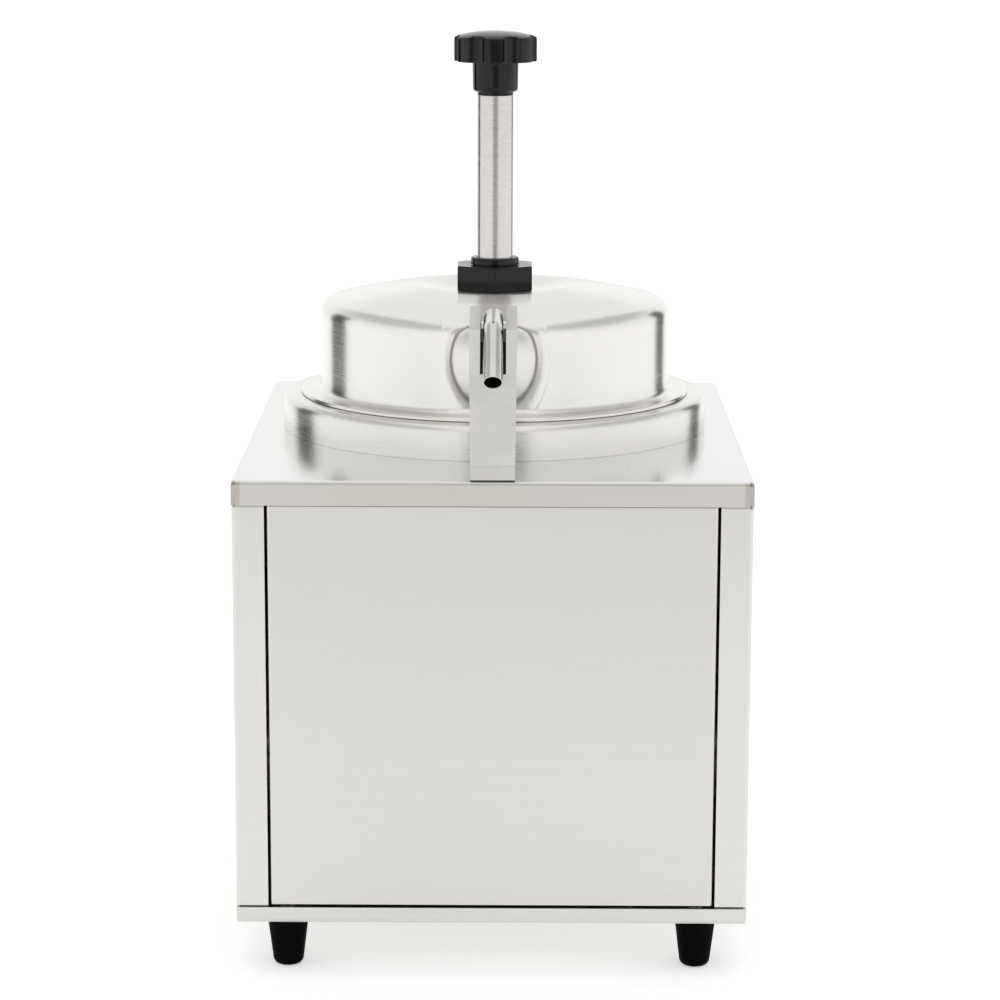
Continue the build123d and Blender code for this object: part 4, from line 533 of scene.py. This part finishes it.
def makeTopCover(c):
    bm = bmesh.new()
    outer = []
    bend, relief = c["bend"], c["relief"]
    for sx, sy in ((-1, -1), (1, -1), (1, 1), (-1, 1)):
        tips = [(sx * (halfWidth - bend), sy * (halfDepth - bend - relief)),
                (sx * c["lipEnd"], sy * (halfDepth - bend - relief)),
                (sx * c["lipEnd"], sy * (halfDepth - bend))]
        outer += [bm.verts.new((x, y, 0)) for x, y in (tips if sx == sy else reversed(tips))]
    rim = [bm.edges.new((outer[i], outer[(i + 1) % 12])) for i in range(12)]
    ring = bmesh.ops.create_circle(bm, cap_ends=False, segments=128, radius=c["opening"])["verts"]
    bmesh.ops.translate(bm, verts=ring, vec=(0, (wellY - midY) / mm, 0))
    hole = list({e for v in ring for e in v.link_edges})
    bmesh.ops.triangle_fill(bm, use_beauty=True, edges=rim + hole)
    for side, (axis, centre) in enumerate((((1, 0, 0), (0, -(halfDepth - bend), -bend)),
                                           ((0, 1, 0), (halfWidth - bend, 0, -bend)),
                                           ((-1, 0, 0), (0, halfDepth - bend, -bend)),
                                           ((0, -1, 0), (-(halfWidth - bend), 0, -bend)))):
        along = Vector(axis)
        root = max(rim, key=lambda e: Vector(centre).dot(e.verts[0].co + e.verts[1].co) + e.calc_length())
        turned = bmesh.ops.spin(bm, geom=root.verts[:] + [root], cent=centre, axis=axis, dvec=(0, 0, 0),
                                angle=radians(90), steps=5, use_merge=False, use_duplicate=False)["geom_last"]
        edge = onlyEdges(turned)
        for drop in (0.4, c["lip"] - bend - 0.4):
            grown = bmesh.ops.extrude_edge_only(bm, edges=edge)["geom"]
            verts = onlyVerts(grown)
            edge = onlyEdges(grown)
            bmesh.ops.translate(bm, verts=verts, vec=(0, 0, -drop))
            for v in verts if drop < 1 else ():
                if side % 2:  # the side lips reach the faces of the front and rear lips
                    v.co.y += (1 if v.co.y > 0 else -1) * (bend + relief)
                else:
                    v.co.x += (1 if v.co.x > 0 else -1) * c["lipReach"]
        if side % 2 == 0:
            for v in verts:
                bmesh.ops.bevel(bm, geom=[v], offset=c["lipCorner"], offset_type="OFFSET", affect="VERTICES",
                                segments=4, profile=0.5, material=-1)
    faceUp(bm)
    bmesh.ops.solidify(bm, geom=bm.faces[:], thickness=c["sheet"])
    return place(bm, (0, midY, deckTop))


finishPiece(makeTopCover(sheetCabinet), "topCover", deckSteel, "cabinet", ["top_cover"],
            weighted=True)


def makeSidePanel(side, c):
    bend, t = c["bend"], c["sheet"]
    node = "left_side_panel" if side < 0 else "right_side_panel"
    low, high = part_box(node)
    x0 = halfWidth - c["fold"]
    y = halfDepth - c["panelSetback"]
    outline = [(x0, -y), (halfWidth, -y, bend), (halfWidth, y, bend), (x0, y),
               (x0, y - t), (halfWidth - t, y - t, bend - t), (halfWidth - t, t - y, bend - t), (x0, t - y)]
    outline = [(side * corner[0], *corner[1:]) for corner in outline]
    seamZ = (deckTop - c["lip"] * mm - c["seam"] * mm)
    lipTop = panHigh.z / mm + c["lipSeam"]
    bm = prism(outline, "xy", lipTop, seamZ / mm)
    softenEdges(bm, 0.2, 60, 2)
    yLow = y - c["lipCorner"] - 1.2
    skirt = prism([(side * x, yEnd) for x, yEnd in ((halfWidth, -yLow), (halfWidth, yLow), (halfWidth - t, yLow),
                                                   (halfWidth - t, -yLow))], "xy", low.z / mm + 0.3, lipTop + 0.3)
    tabs = [skirt]
    for end in (-1, 1):  # the folds run on behind the lip of the top cover
        inner, outerX = x0, halfWidth - t - 0.2
        tab = prism([(side * inner, end * y), (side * outerX, end * y), (side * outerX, end * (y - t)),
                     (side * inner, end * (y - t))], "xy", seamZ / mm - 0.05, high.z / mm)
        tabs.append(tab)
    return place(joinMeshes([bm] + tabs), (0, midY, 0))


for side, name in ((-1, "leftSidePanel"), (1, "rightSidePanel")):
    finishPiece(makeSidePanel(side, sheetCabinet), name, sideSteel, "cabinet",
                ["left_side_panel" if side < 0 else "right_side_panel"], weighted=True)


def makeFrontPanel(c):
    low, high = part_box("front_panel")
    w, y, d, t = high.x / mm, low.y / mm, high.y / mm, c["sheet"]
    bend = 1.3
    outline = [(-w, d), (-w, y, bend), (w, y, bend), (w, d), (w - t, d), (w - t, y + t, bend - t),
               (t - w, y + t, bend - t), (t - w, d)]
    bm = prism(outline, "xy", low.z / mm, high.z / mm)
    softenEdges(bm, 0.2, 60, 2)
    return place(bm, (0, 0, 0))


finishPiece(makeFrontPanel(sheetCabinet), "frontPanel", frontSteel, "cabinet", ["front_panel"],
            weighted=True)


def makeBasePan(c):  # a tray whose front and rear lips are as wide as the cabinet
    y, t, low, high = (panHigh.y - panLow.y) / 2 / mm, c["sheet"], panLow.z / mm, panHigh.z / mm
    wide = halfWidth - 0.1
    outline = [(-y, high), (-y, low, c["panCorner"]), (y, low, c["panCorner"]), (y, high), (y - t, high),
               (y - t, low + t, c["panCorner"] - t), (t - y, low + t, c["panCorner"] - t), (t - y, high)]
    bm = prism(outline, "yz", -wide, wide)
    ends = [e for e in bm.edges if len(e.link_faces) == 2 and abs(abs(e.verts[0].co.x) - wide) < 0.01
            and abs(abs(e.verts[1].co.x) - wide) < 0.01 and max(v.co.z for v in e.verts) < low + c["panCorner"] + 0.1
            and (min(v.co.z for v in e.verts) < low + t * 0.5 or min(abs(v.co.y) for v in e.verts) > y - t * 0.5)]
    bmesh.ops.bevel(bm, geom=ends, offset=1.1, offset_type="OFFSET", affect="EDGES", segments=4, profile=0.5,
                    material=-1, clamp_overlap=True)
    softenEdges(bm, 0.2, 60, 2)
    return place(bm, (0, (panLow.y + panHigh.y) / 2, 0))


finishPiece(makeBasePan(sheetCabinet), "basePan", panSteel, "cabinet", ["base_pan"],
            weighted=True)

feetShape = {"top": 9.7, "tip": 6.6, "round": 3.0, "height": 25.4, "x": 92.5, "y": 115.0}


def makeFeet(c):
    parts = []
    for sx in (-1, 1):
        for sy in (-1, 1):
            bm = spun([(0, c["height"]), (c["top"], c["height"], 0.4), (c["tip"], 0, c["round"]), (0, 0)], 48)
            bmesh.ops.translate(bm, verts=bm.verts, vec=(sx * c["x"], sy * c["y"], 0))
            parts.append(bm)
    return place(joinMeshes(parts), (0, midY, 0))


finishPiece(makeFeet(feetShape), "feetSet", feetRubber, "cabinet", ["feet"])
print("cabinet made")

# well, jar and collar

wellShape = {"collar": 101.0, "collarTop": 16.3, "shoulder": 4.0, "inner": 86.6, "sheet": 1.2, "depth": 165.0,
             "flange": 98.0, "corner": 14.0}
jarShape = {"radius": 79.5, "sheet": 0.8, "depth": 135.0, "corner": 12.0, "rim": 90.8, "rimTop": 17.2}

w = wellShape
spunPiece([(w["collar"], 0.05), (w["collar"], w["collarTop"], w["shoulder"]), (w["inner"], w["collarTop"], 0.9),
           (w["inner"], 2.4), (w["inner"] + w["sheet"], 2.4),
           (w["inner"] + w["sheet"], w["collarTop"] - w["sheet"]),
           (w["collar"] - w["sheet"], w["collarTop"] - w["sheet"], w["shoulder"] - w["sheet"]),
           (w["collar"] - w["sheet"], 0.05)],
          "wellCollar", collarSteel, "cabinet", "spun_steel", ["well_collar"], closed=True)
out = w["inner"] + w["sheet"]
spunPiece([(0, -w["depth"]), (out, -w["depth"], w["corner"]), (out, 1.0), (w["flange"], 1.0), (w["flange"], 2.2),
           (w["inner"], 2.2), (w["inner"], w["sheet"] - w["depth"], w["corner"] - w["sheet"]),
           (0, w["sheet"] - w["depth"])],
          "waterWell", vesselSteel, "cabinet", "spun_steel", ["water_well"], steps=128)
j = jarShape
spunPiece([(0, -j["depth"]), (j["radius"], -j["depth"], j["corner"]), (j["radius"], j["rimTop"] - j["sheet"]),
           (j["rim"], j["rimTop"] - j["sheet"]), (j["rim"], j["rimTop"]),
           (j["radius"] - j["sheet"], j["rimTop"], 0.7),
           (j["radius"] - j["sheet"], j["sheet"] - j["depth"], j["corner"] - j["sheet"]),
           (0, j["sheet"] - j["depth"])],
          "toppingJar", vesselSteel, "jar", "spun_steel", ["jar"], steps=128)
print("vessels made")

# lid

lidShape = {
    "hole": 13.45, "seat": (27.0, 65.3), "crest": (37.0, 67.2), "crown": (57.0, 65.1),
    "wall": 83.5, "shoulder": (59.7, 6.5), "flangeTop": 18.3, "fillet": 3.2, "rim": 92.5, "rimFoot": 16.6,
    "sheet": 1.0, "ballRadius": 34.0, "ballReach": 109.6, "ballHeight": 43.0, "ballEdge": 3.2,
}


def pressPocket(bm, c):  # pushes the wall in behind the ball that shapes the pocket, with a soft edge
    centre = Vector((0, -c["ballReach"], c["ballHeight"]))
    for v in bm.verts:
        rise = min(1.0, max(0.0, (v.co.z - c["flangeTop"]) / 1.5))
        outwards = Vector((v.co.x, v.co.y, 0))
        if v.co.y > -40 or rise <= 0 or outwards.length < 60:
            continue
        outwards.normalize()
        away = v.co - centre
        inside = outwards.dot(away) ** 2 - away.length_squared + c["ballRadius"] ** 2
        if inside <= 0:
            continue
        depth = outwards.dot(away) + sqrt(inside)
        push = (depth + sqrt(depth * depth + c["ballEdge"] ** 2)) / 2
        v.co -= outwards * push * rise


def makeLid(c):
    corners = [(c["hole"], c["seat"][1]), (c["seat"][0], c["seat"][1], 6), (*c["crest"], 10), (*c["crown"], 60),
               (c["wall"], *c["shoulder"]), (c["wall"], c["flangeTop"], c["fillet"]),
               (c["rim"], c["flangeTop"], 1.2), (c["rim"], c["rimFoot"])]
    bm = spun(corners, 256, segments=8, cuts=2.2)
    near = [e for e in bm.edges if all(v.co.y < -70 and abs(v.co.x) < 36 and v.co.z > 18 for v in e.verts)]
    bmesh.ops.subdivide_edges(bm, edges=near, cuts=2, use_grid_fill=True)
    pressPocket(bm, c)
    faceUp(bm)
    bmesh.ops.solidify(bm, geom=bm.faces[:], thickness=c["sheet"])
    return bm


bm = place(makeLid(lidShape), onPump)
brushMap(bm, onPump)
finishPiece(bm, "domedLid", lidSteel, "lid", ["lid"])
print("lid made")

# pump

pumpShape = {
    "nutFlats": 35.4, "nutFoot": 65.4, "nutTop": 77.0, "nutBore": 13.3, "nutLip": (11.7, 13.5, 76.6, 76.97),
    "bushBore": 8.72, "bushBody": 10.5, "bushFoot": 66.0, "bushTop": 77.1, "flange": 11.5, "flangeTop": 80.5,
    "tube": 8.65, "tubeWall": 1.2, "tubeFoot": 30.0, "tubeTop": 157.3,
    "washer": 8.5, "washerBore": 7.45, "washerTop": 158.6, "hub": 10.7, "hubTop": 172.8,
    "boss": 7.4, "bossFoot": 143.0,  # of the knob, inside the tube
    "knob": 19.5, "knobTop": 184.4, "dome": 187.15, "lobes": 7, "turn": -2.5, "groove": 2.6, "grooveRound": 5.4,
}
p = pumpShape


def makeNut(c):
    bm = bmesh.new()
    bmesh.ops.create_circle(bm, cap_ends=False, segments=6, radius=c["nutFlats"] / 2 / cos(radians(30)))
    bmesh.ops.create_circle(bm, cap_ends=False, segments=64, radius=c["nutBore"])
    bmesh.ops.triangle_fill(bm, use_beauty=True, edges=bm.edges[:])
    grown = bmesh.ops.extrude_face_region(bm, geom=bm.faces[:])["geom"]
    bmesh.ops.translate(bm, verts=onlyVerts(grown),
                        vec=(0, 0, c["nutTop"] - c["nutFoot"]))
    bmesh.ops.recalc_face_normals(bm, faces=bm.faces)
    softenEdges(bm, 0.5, 30, 3)
    bmesh.ops.translate(bm, verts=bm.verts, vec=(0, 0, c["nutFoot"]))
    inner, outer, foot, top = c["nutLip"]
    lip = spun([(inner, foot), (outer, foot), (outer, top), (inner, top, 0.15)], 64, closed=True)
    return place(joinMeshes([bm, lip]), onPump)


finishPiece(makeNut(p), "lockNut", blackPlastic, "lid", ["lock_nut"], weighted=True)
spunPiece([(p["bushBore"], p["bushFoot"]), (p["bushBody"], p["bushFoot"]), (p["bushBody"], p["bushTop"]),
           (p["flange"], p["bushTop"]), (p["flange"], p["flangeTop"], 1.0), (p["bushBore"], p["flangeTop"], 0.4)],
          "plungerBushing", blackPlastic, "lid", "black_plastic", ["plunger_bushing"], closed=True, steps=96)
bore = p["tube"] - p["tubeWall"]
spunPiece([(p["tube"], p["tubeFoot"]), (p["tube"], p["tubeTop"], 0.5), (bore, p["tubeTop"]),
           (bore, p["tubeFoot"])],
          "plungerTube", pumpSteel, "plunger", "pump_steel", ["plunger_tube"], closed=True, steps=96)
spunPiece([(p["washer"], p["tubeTop"]), (p["washer"], p["washerTop"]), (p["washerBore"], p["washerTop"]),
           (p["washerBore"], p["tubeTop"])],
          "knobWasher", blackPlastic, "plunger", "black_plastic", ["knob_washer"], closed=True, steps=96)


def makeKnob(c):
    domeRise = c["dome"] - c["knobTop"]
    dome = [(c["knob"] * k, c["knobTop"] + domeRise * (1 - k ** 2.4)) for k in (0.0, 0.25, 0.5, 0.72, 0.88)]
    profile = dome + [(c["knob"], c["knobTop"] - 0.3, 1.1), (c["knob"], c["hubTop"], 0.5),
                      (c["hub"] + 0.2, c["hubTop"], 0.8), (c["hub"], c["washerTop"], 1.7),
                      (c["boss"], c["washerTop"]), (c["boss"], c["bossFoot"], 0.5), (0, c["bossFoot"])]
    bm = spun(profile, 336, segments=6, cuts=2.0)
    for v in bm.verts:  # scallops between the lobes, with rounded ends
        reach = Vector((v.co.x, v.co.y))
        if v.co.z < c["hubTop"] - 0.01 or reach.length < 0.6 * c["knob"]:
            continue
        turned = (atan2(reach.y, reach.x) + pi / 2 - radians(c["turn"])) / (2 * pi) * c["lobes"]
        across = abs((turned % 1.0) - 0.5) * 2 * pi * c["knob"] / c["lobes"]
        half = sqrt(max(0.0, c["groove"] * (2 * c["grooveRound"] - c["groove"])))
        depth = c["groove"] - c["grooveRound"] + sqrt(max(0.0, c["grooveRound"] ** 2 - min(across, half) ** 2))
        outer = max(0.0, c["knob"] - reach.length)
        push = max(0.0, depth - outer * 0.9)
        v.co.x -= reach.x / reach.length * push
        v.co.y -= reach.y / reach.length * push
    return place(bm, onPump)


finishPiece(makeKnob(p), "pumpKnob", blackPlastic, "plunger", ["pump_knob"])

# discharge tube

tubeShape = {
    "radius": 4.35, "wall": 0.5, "segments": 40, "collar": 6.4, "collarHeight": 2,
    "corners": [(26.0, -76.0, 0), (26.0, -7.523, 25), (97.0, 66.0, 14), (136.0, 64.6, 16), (158.0, 45.5, 0)],
}


def makeTube(c):  # a ring run along straight runs and bends, each bend a spin about its own centre
    bm = bmesh.new()
    points = [Vector((0, -reach, height)) for reach, height, _ in c["corners"]]
    first = bmesh.ops.create_circle(bm, cap_ends=False, segments=c["segments"], radius=c["radius"])["verts"]
    bmesh.ops.translate(bm, verts=first, vec=points[0])
    edges = list({e for v in first for e in v.link_edges})
    here = points[0]
    for i in range(1, len(points)):
        ahead = (points[i] - points[i - 1]).normalized()
        turn, stop = 0.0, points[i]
        if i < len(points) - 1:
            after = (points[i + 1] - points[i]).normalized()
            turn = ahead.angle(after)
            stop = points[i] - ahead * c["corners"][i][2] * tan(turn / 2)
        grown = bmesh.ops.extrude_edge_only(bm, edges=edges)["geom"]
        bmesh.ops.translate(bm, verts=onlyVerts(grown), vec=stop - here)
        edges = onlyEdges(grown)
        here = stop
        if turn:
            axis = ahead.cross(after).normalized()
            inwards = axis.cross(ahead).normalized()
            centre = stop + inwards * c["corners"][i][2]
            last = bmesh.ops.spin(bm, geom=list({v for e in edges for v in e.verts}) + edges, cent=centre,
                                  axis=axis, dvec=(0, 0, 0), angle=turn, steps=14, use_merge=False,
                                  use_duplicate=False)["geom_last"]
            edges = onlyEdges(last)
            here = points[i] + after * c["corners"][i][2] * tan(turn / 2)
    bmesh.ops.recalc_face_normals(bm, faces=bm.faces)
    middle = min(bm.faces, key=lambda f: (f.calc_center_median() - points[0]).length)
    heart = middle.calc_center_median()
    if middle.normal.dot(heart - Vector((0, points[0].y, heart.z))) < 0:
        bmesh.ops.reverse_faces(bm, faces=bm.faces)
    bmesh.ops.solidify(bm, geom=bm.faces[:], thickness=c["wall"])
    return bm


bm = makeTube(tubeShape)
t = tubeShape
reach, foot = t["corners"][0][:2]
collar = spun([(t["radius"], foot), (t["collar"], foot), (t["collar"], foot + t["collarHeight"], 0.3),
               (t["radius"], foot + t["collarHeight"])], 64, closed=True)
bmesh.ops.translate(collar, verts=collar.verts, vec=(0, -reach, 0))
finishPiece(place(joinMeshes([bm, collar]), onPump), "dischargeTube", innerSteel, "lid",
            ["discharge_tube"])
print("pump made")

# pump spring

springShape = {"radius": 11.0, "wire": 1.8, "turns": 9, "steps": 32, "stroke": 60.0}


def makeSpring(c):  # a round section spun along a helix, each end closed
    low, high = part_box("pump_spring")
    rise = (high.z - low.z) / mm - c["wire"]
    bm = bmesh.new()
    section = bmesh.ops.create_circle(bm, cap_ends=True, segments=14, radius=c["wire"] / 2)["verts"]
    bmesh.ops.rotate(bm, verts=section, cent=(0, 0, 0), matrix=Matrix.Rotation(radians(90), 3, "X"))
    bmesh.ops.translate(bm, verts=section, vec=(c["radius"], 0, c["wire"] / 2))
    count = c["turns"] * c["steps"]
    bmesh.ops.spin(bm, geom=bm.verts[:] + bm.edges[:] + bm.faces[:], cent=(0, 0, 0), axis=(0, 0, 1),
                   dvec=(0, 0, rise / count), angle=radians(360) * c["turns"], steps=count, use_duplicate=False)
    bmesh.ops.remove_doubles(bm, verts=bm.verts, dist=0.001)
    bmesh.ops.recalc_face_normals(bm, faces=bm.faces)
    return place(bm, (0, wellY, low.z))


pumpSpring = finishPiece(makeSpring(springShape), "pumpSpring", innerSteel, "lid", ["pump_spring"])
low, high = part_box("pump_spring")
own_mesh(pumpSpring)
print("spring made")

# frame nodes that keep their solids

finishers = {
    "rear_panel": sideSteel, "foot_screws": screwMetal, "rear_panel_screws": screwMetal, "cradle_screws": screwMetal,
    "heater_clamp_nuts": screwMetal, "well_gasket": sealRubber, "pump_gasket": sealRubber,
    "cradle_gasket": sealRubber,
    "piston_seal": sealRubber, "tube_grommet": sealRubber, "pump_barrel": innerSteel, "valve_body": innerSteel,
    "union_nut": innerSteel, "ball_stop_pins": innerSteel, "inlet_ball": innerSteel,
    "outlet_ball": innerSteel, "piston": palePlastic, "piston_screw": innerSteel, "well_heater": heaterMetal,
    "cradle_heater": heaterMetal, "heater_clamp_plate": heaterMetal, "high_limit_cutout": heaterMetal,
    "thermostat_bulb": heaterMetal, "bulb_clips": heaterMetal, "thermostat_body": palePlastic,
    "terminal_block": palePlastic, "dial_plate": dialMetal, "thermostat_knob": dialPlastic,
    "power_switch_body": blackPlastic, "power_rocker": rockerPlastic, "cable_inlet": blackPlastic,
    "cable_inlet_nut": blackPlastic, "pilot_lamp_body": blackPlastic, "pilot_lamp_lens": lensAmber,
    "spout_cradle": cradleMetal,
}
for name, material in finishers.items():
    node = cadNodes[name]
    node.data.materials.clear()
    node.data.materials.append(material)


def softenNode(name, width, angle=40):
    # welds and bevels a frame node with modifiers, so that its edges catch the light
    node = cadNodes[name]
    weld = node.modifiers.new("weld", "WELD")
    weld.merge_threshold = 1e-5
    bevel = node.modifiers.new("bevel", "BEVEL")
    bevel.width = width * mm
    bevel.segments = 2
    bevel.limit_method = "ANGLE"
    bevel.angle_limit = radians(angle)
    bevel.harden_normals = False
    even = node.modifiers.new("evenShading", "WEIGHTED_NORMAL")
    even.keep_sharp = True


for name in ("spout_cradle", "terminal_block", "power_switch_body", "power_rocker", "thermostat_body"):
    softenNode(name, 0.35)
dialPrint = {"ring": 22.4, "digit": 3.6, "step": 30.0, "count": 10}


def makeDialDigits(c):
    low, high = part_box("dial_plate")
    centre = (low + high) / 2
    bm = bmesh.new()
    for k in range(c["count"]):
        letters = bpy.data.curves.new("digit", "FONT")
        letters.body = str(k)
        letters.size = c["digit"] * mm
        letters.align_x, letters.align_y = "CENTER", "CENTER"
        letters.extrude = 0.02 * mm
        holder = bpy.data.objects.new("digit", letters)
        bpy.context.scene.collection.objects.link(holder)
        bpy.context.view_layer.update()
        mesh = bpy.data.meshes.new_from_object(holder.evaluated_get(bpy.context.evaluated_depsgraph_get()))
        angle = radians(c["step"] * k)
        mesh.transform(Matrix(((-1, 0, 0, centre.x - sin(angle) * c["ring"] * mm), (0, 0, 1, high.y + 0.03 * mm),
                               (0, 1, 0, centre.z + cos(angle) * c["ring"] * mm), (0, 0, 0, 1))))
        bm.from_mesh(mesh)
        bpy.data.meshes.remove(mesh)
        bpy.data.objects.remove(holder)
        bpy.data.curves.remove(letters)
    return bm


finishPiece(makeDialDigits(dialPrint), "dialDigits", markPaint, "cabinet")
print("frame nodes finished")

# floor, light and camera

floorMesh = bmesh.new()
bmesh.ops.create_grid(floorMesh, x_segments=2, y_segments=2, size=12)
mesh = bpy.data.meshes.new("floor")
floorMesh.to_mesh(mesh)
floorMesh.free()
floor = bpy.data.objects.new("floor", mesh)
bpy.context.scene.collection.objects.link(floor)
paleFloor = bpy.data.materials.new("paleFloor")
paleFloor.use_nodes = True
tree = paleFloor.node_tree
shader = tree.nodes["Principled BSDF"]
shader.inputs["Base Color"].default_value = (0.86, 0.86, 0.86, 1)
shader.inputs["Roughness"].default_value = 0.9
path = tree.nodes.new("ShaderNodeLightPath")
boost = mathNode(tree, "ADD", mathNode(tree, "MULTIPLY", path.outputs["Is Camera Ray"], 0.42),
                 mathNode(tree, "MULTIPLY", path.outputs["Is Glossy Ray"], 0.38))
glow = addNode(tree, "ShaderNodeEmission", Color=(1, 1, 1, 1), Strength=boost)
total = tree.nodes.new("ShaderNodeAddShader")
tree.links.new(shader.outputs[0], total.inputs[0])
tree.links.new(glow.outputs[0], total.inputs[1])
tree.links.new(total.outputs[0], tree.nodes["Material Output"].inputs["Surface"])
mesh.materials.append(paleFloor)

# a white sweep all round, a dimmer room above it and a wide soft box overhead
studio = {"sweep": 1.0, "room": 0.58, "softBox": 0.98, "sweepTop": (0.36, 0.60), "boxHalf": (0.40, 0.70)}
world = bpy.data.worlds.new("studio")
bpy.context.scene.world = world
world.use_nodes = True
tree = world.node_tree
tree.nodes.clear()
path = tree.nodes.new("ShaderNodeLightPath")
coords = tree.nodes.new("ShaderNodeTexCoord")
split = addNode(tree, "ShaderNodeSeparateXYZ", Vector=coords.outputs["Generated"])
low = mapRange(tree, split.outputs["Z"], *studio["sweepTop"], studio["sweep"], studio["room"])
lean = mathNode(tree, "DIVIDE", mathNode(tree, "ABSOLUTE", split.outputs["X"]),
                mathNode(tree, "MAXIMUM", split.outputs["Z"], 0.02))
box = mathNode(tree, "MULTIPLY", mapRange(tree, lean, *studio["boxHalf"], studio["softBox"], 0.0),
               mapRange(tree, split.outputs["Z"], 0.28, 0.42, 0.0, 1.0))
light = mathNode(tree, "MAXIMUM", mathNode(tree, "MAXIMUM", low, box), path.outputs["Is Camera Ray"])
sky = addNode(tree, "ShaderNodeBackground", Color=(1, 1, 1, 1), Strength=light)
out = tree.nodes.new("ShaderNodeOutputWorld")
tree.links.new(sky.outputs[0], out.inputs["Surface"])


def darkFlag(name, azimuth, distance, width, height, grey):
    # a dark board that only reflections see; azimuth is measured from the camera's side, in degrees
    bm = bmesh.new()
    bmesh.ops.create_grid(bm, x_segments=1, y_segments=1, size=0.5)
    bmesh.ops.scale(bm, verts=bm.verts, vec=(width, height, 1))
    bmesh.ops.rotate(bm, verts=bm.verts, cent=(0, 0, 0), matrix=Matrix.Rotation(radians(90), 3, "X"))
    bmesh.ops.translate(bm, verts=bm.verts, vec=(0, -distance, height / 2))
    bmesh.ops.rotate(bm, verts=bm.verts, cent=(0, 0, 0), matrix=Matrix.Rotation(radians(azimuth), 3, "Z"))
    mesh = bpy.data.meshes.new(name)
    bm.to_mesh(mesh)
    bm.free()
    dark = bpy.data.materials.new(name)
    dark.use_nodes = True
    dark.node_tree.nodes["Principled BSDF"].inputs["Base Color"].default_value = (grey, grey, grey, 1)
    dark.node_tree.nodes["Principled BSDF"].inputs["Roughness"].default_value = 0.9
    mesh.materials.append(dark)
    board = bpy.data.objects.new(name, mesh)
    bpy.context.scene.collection.objects.link(board)
    board.visible_camera = False
    board.visible_diffuse = False
    board.visible_shadow = False


darkFlag("flagLeft", -121, 1.15, 0.40, 0.75, 0.05)
darkFlag("flagRight", 136, 1.15, 0.30, 0.75, 0.08)
darkFlag("flagFront", 2, 2.1, 1.15, 1.3, 0.46)

view = {"focal": 3119.6, "x": 6.8, "y": -1468.43, "z": 263.53, "pitch": 11.512, "yaw": 0.153, "roll": 0.201}
yaw, pitch, roll = radians(view["yaw"]), radians(view["pitch"]), radians(view["roll"])
swing = Matrix.Rotation(yaw, 3, "Z")
forward = swing @ Vector((0, cos(pitch), -sin(pitch)))
right = swing @ Vector((1, 0, 0))
up = swing @ Vector((0, sin(pitch), cos(pitch)))
right2 = cos(roll) * right + sin(roll) * up
up2 = cos(roll) * up - sin(roll) * right
camera = bpy.data.cameras.new("camera")
camera.sensor_width = 36
camera.lens = view["focal"] * 36 / 1000
camera.clip_end = 50
cameraObject = bpy.data.objects.new("camera", camera)
cameraObject.matrix_world = Matrix((
    (right2.x, up2.x, -forward.x, view["x"] * mm),
    (right2.y, up2.y, -forward.y, view["y"] * mm + midY),
    (right2.z, up2.z, -forward.z, view["z"] * mm + deckTop),
    (0, 0, 0, 1),
))
bpy.context.scene.collection.objects.link(cameraObject)
bpy.context.scene.camera = cameraObject
bpy.context.scene.view_settings.view_transform = "Standard"
print("light and camera set")
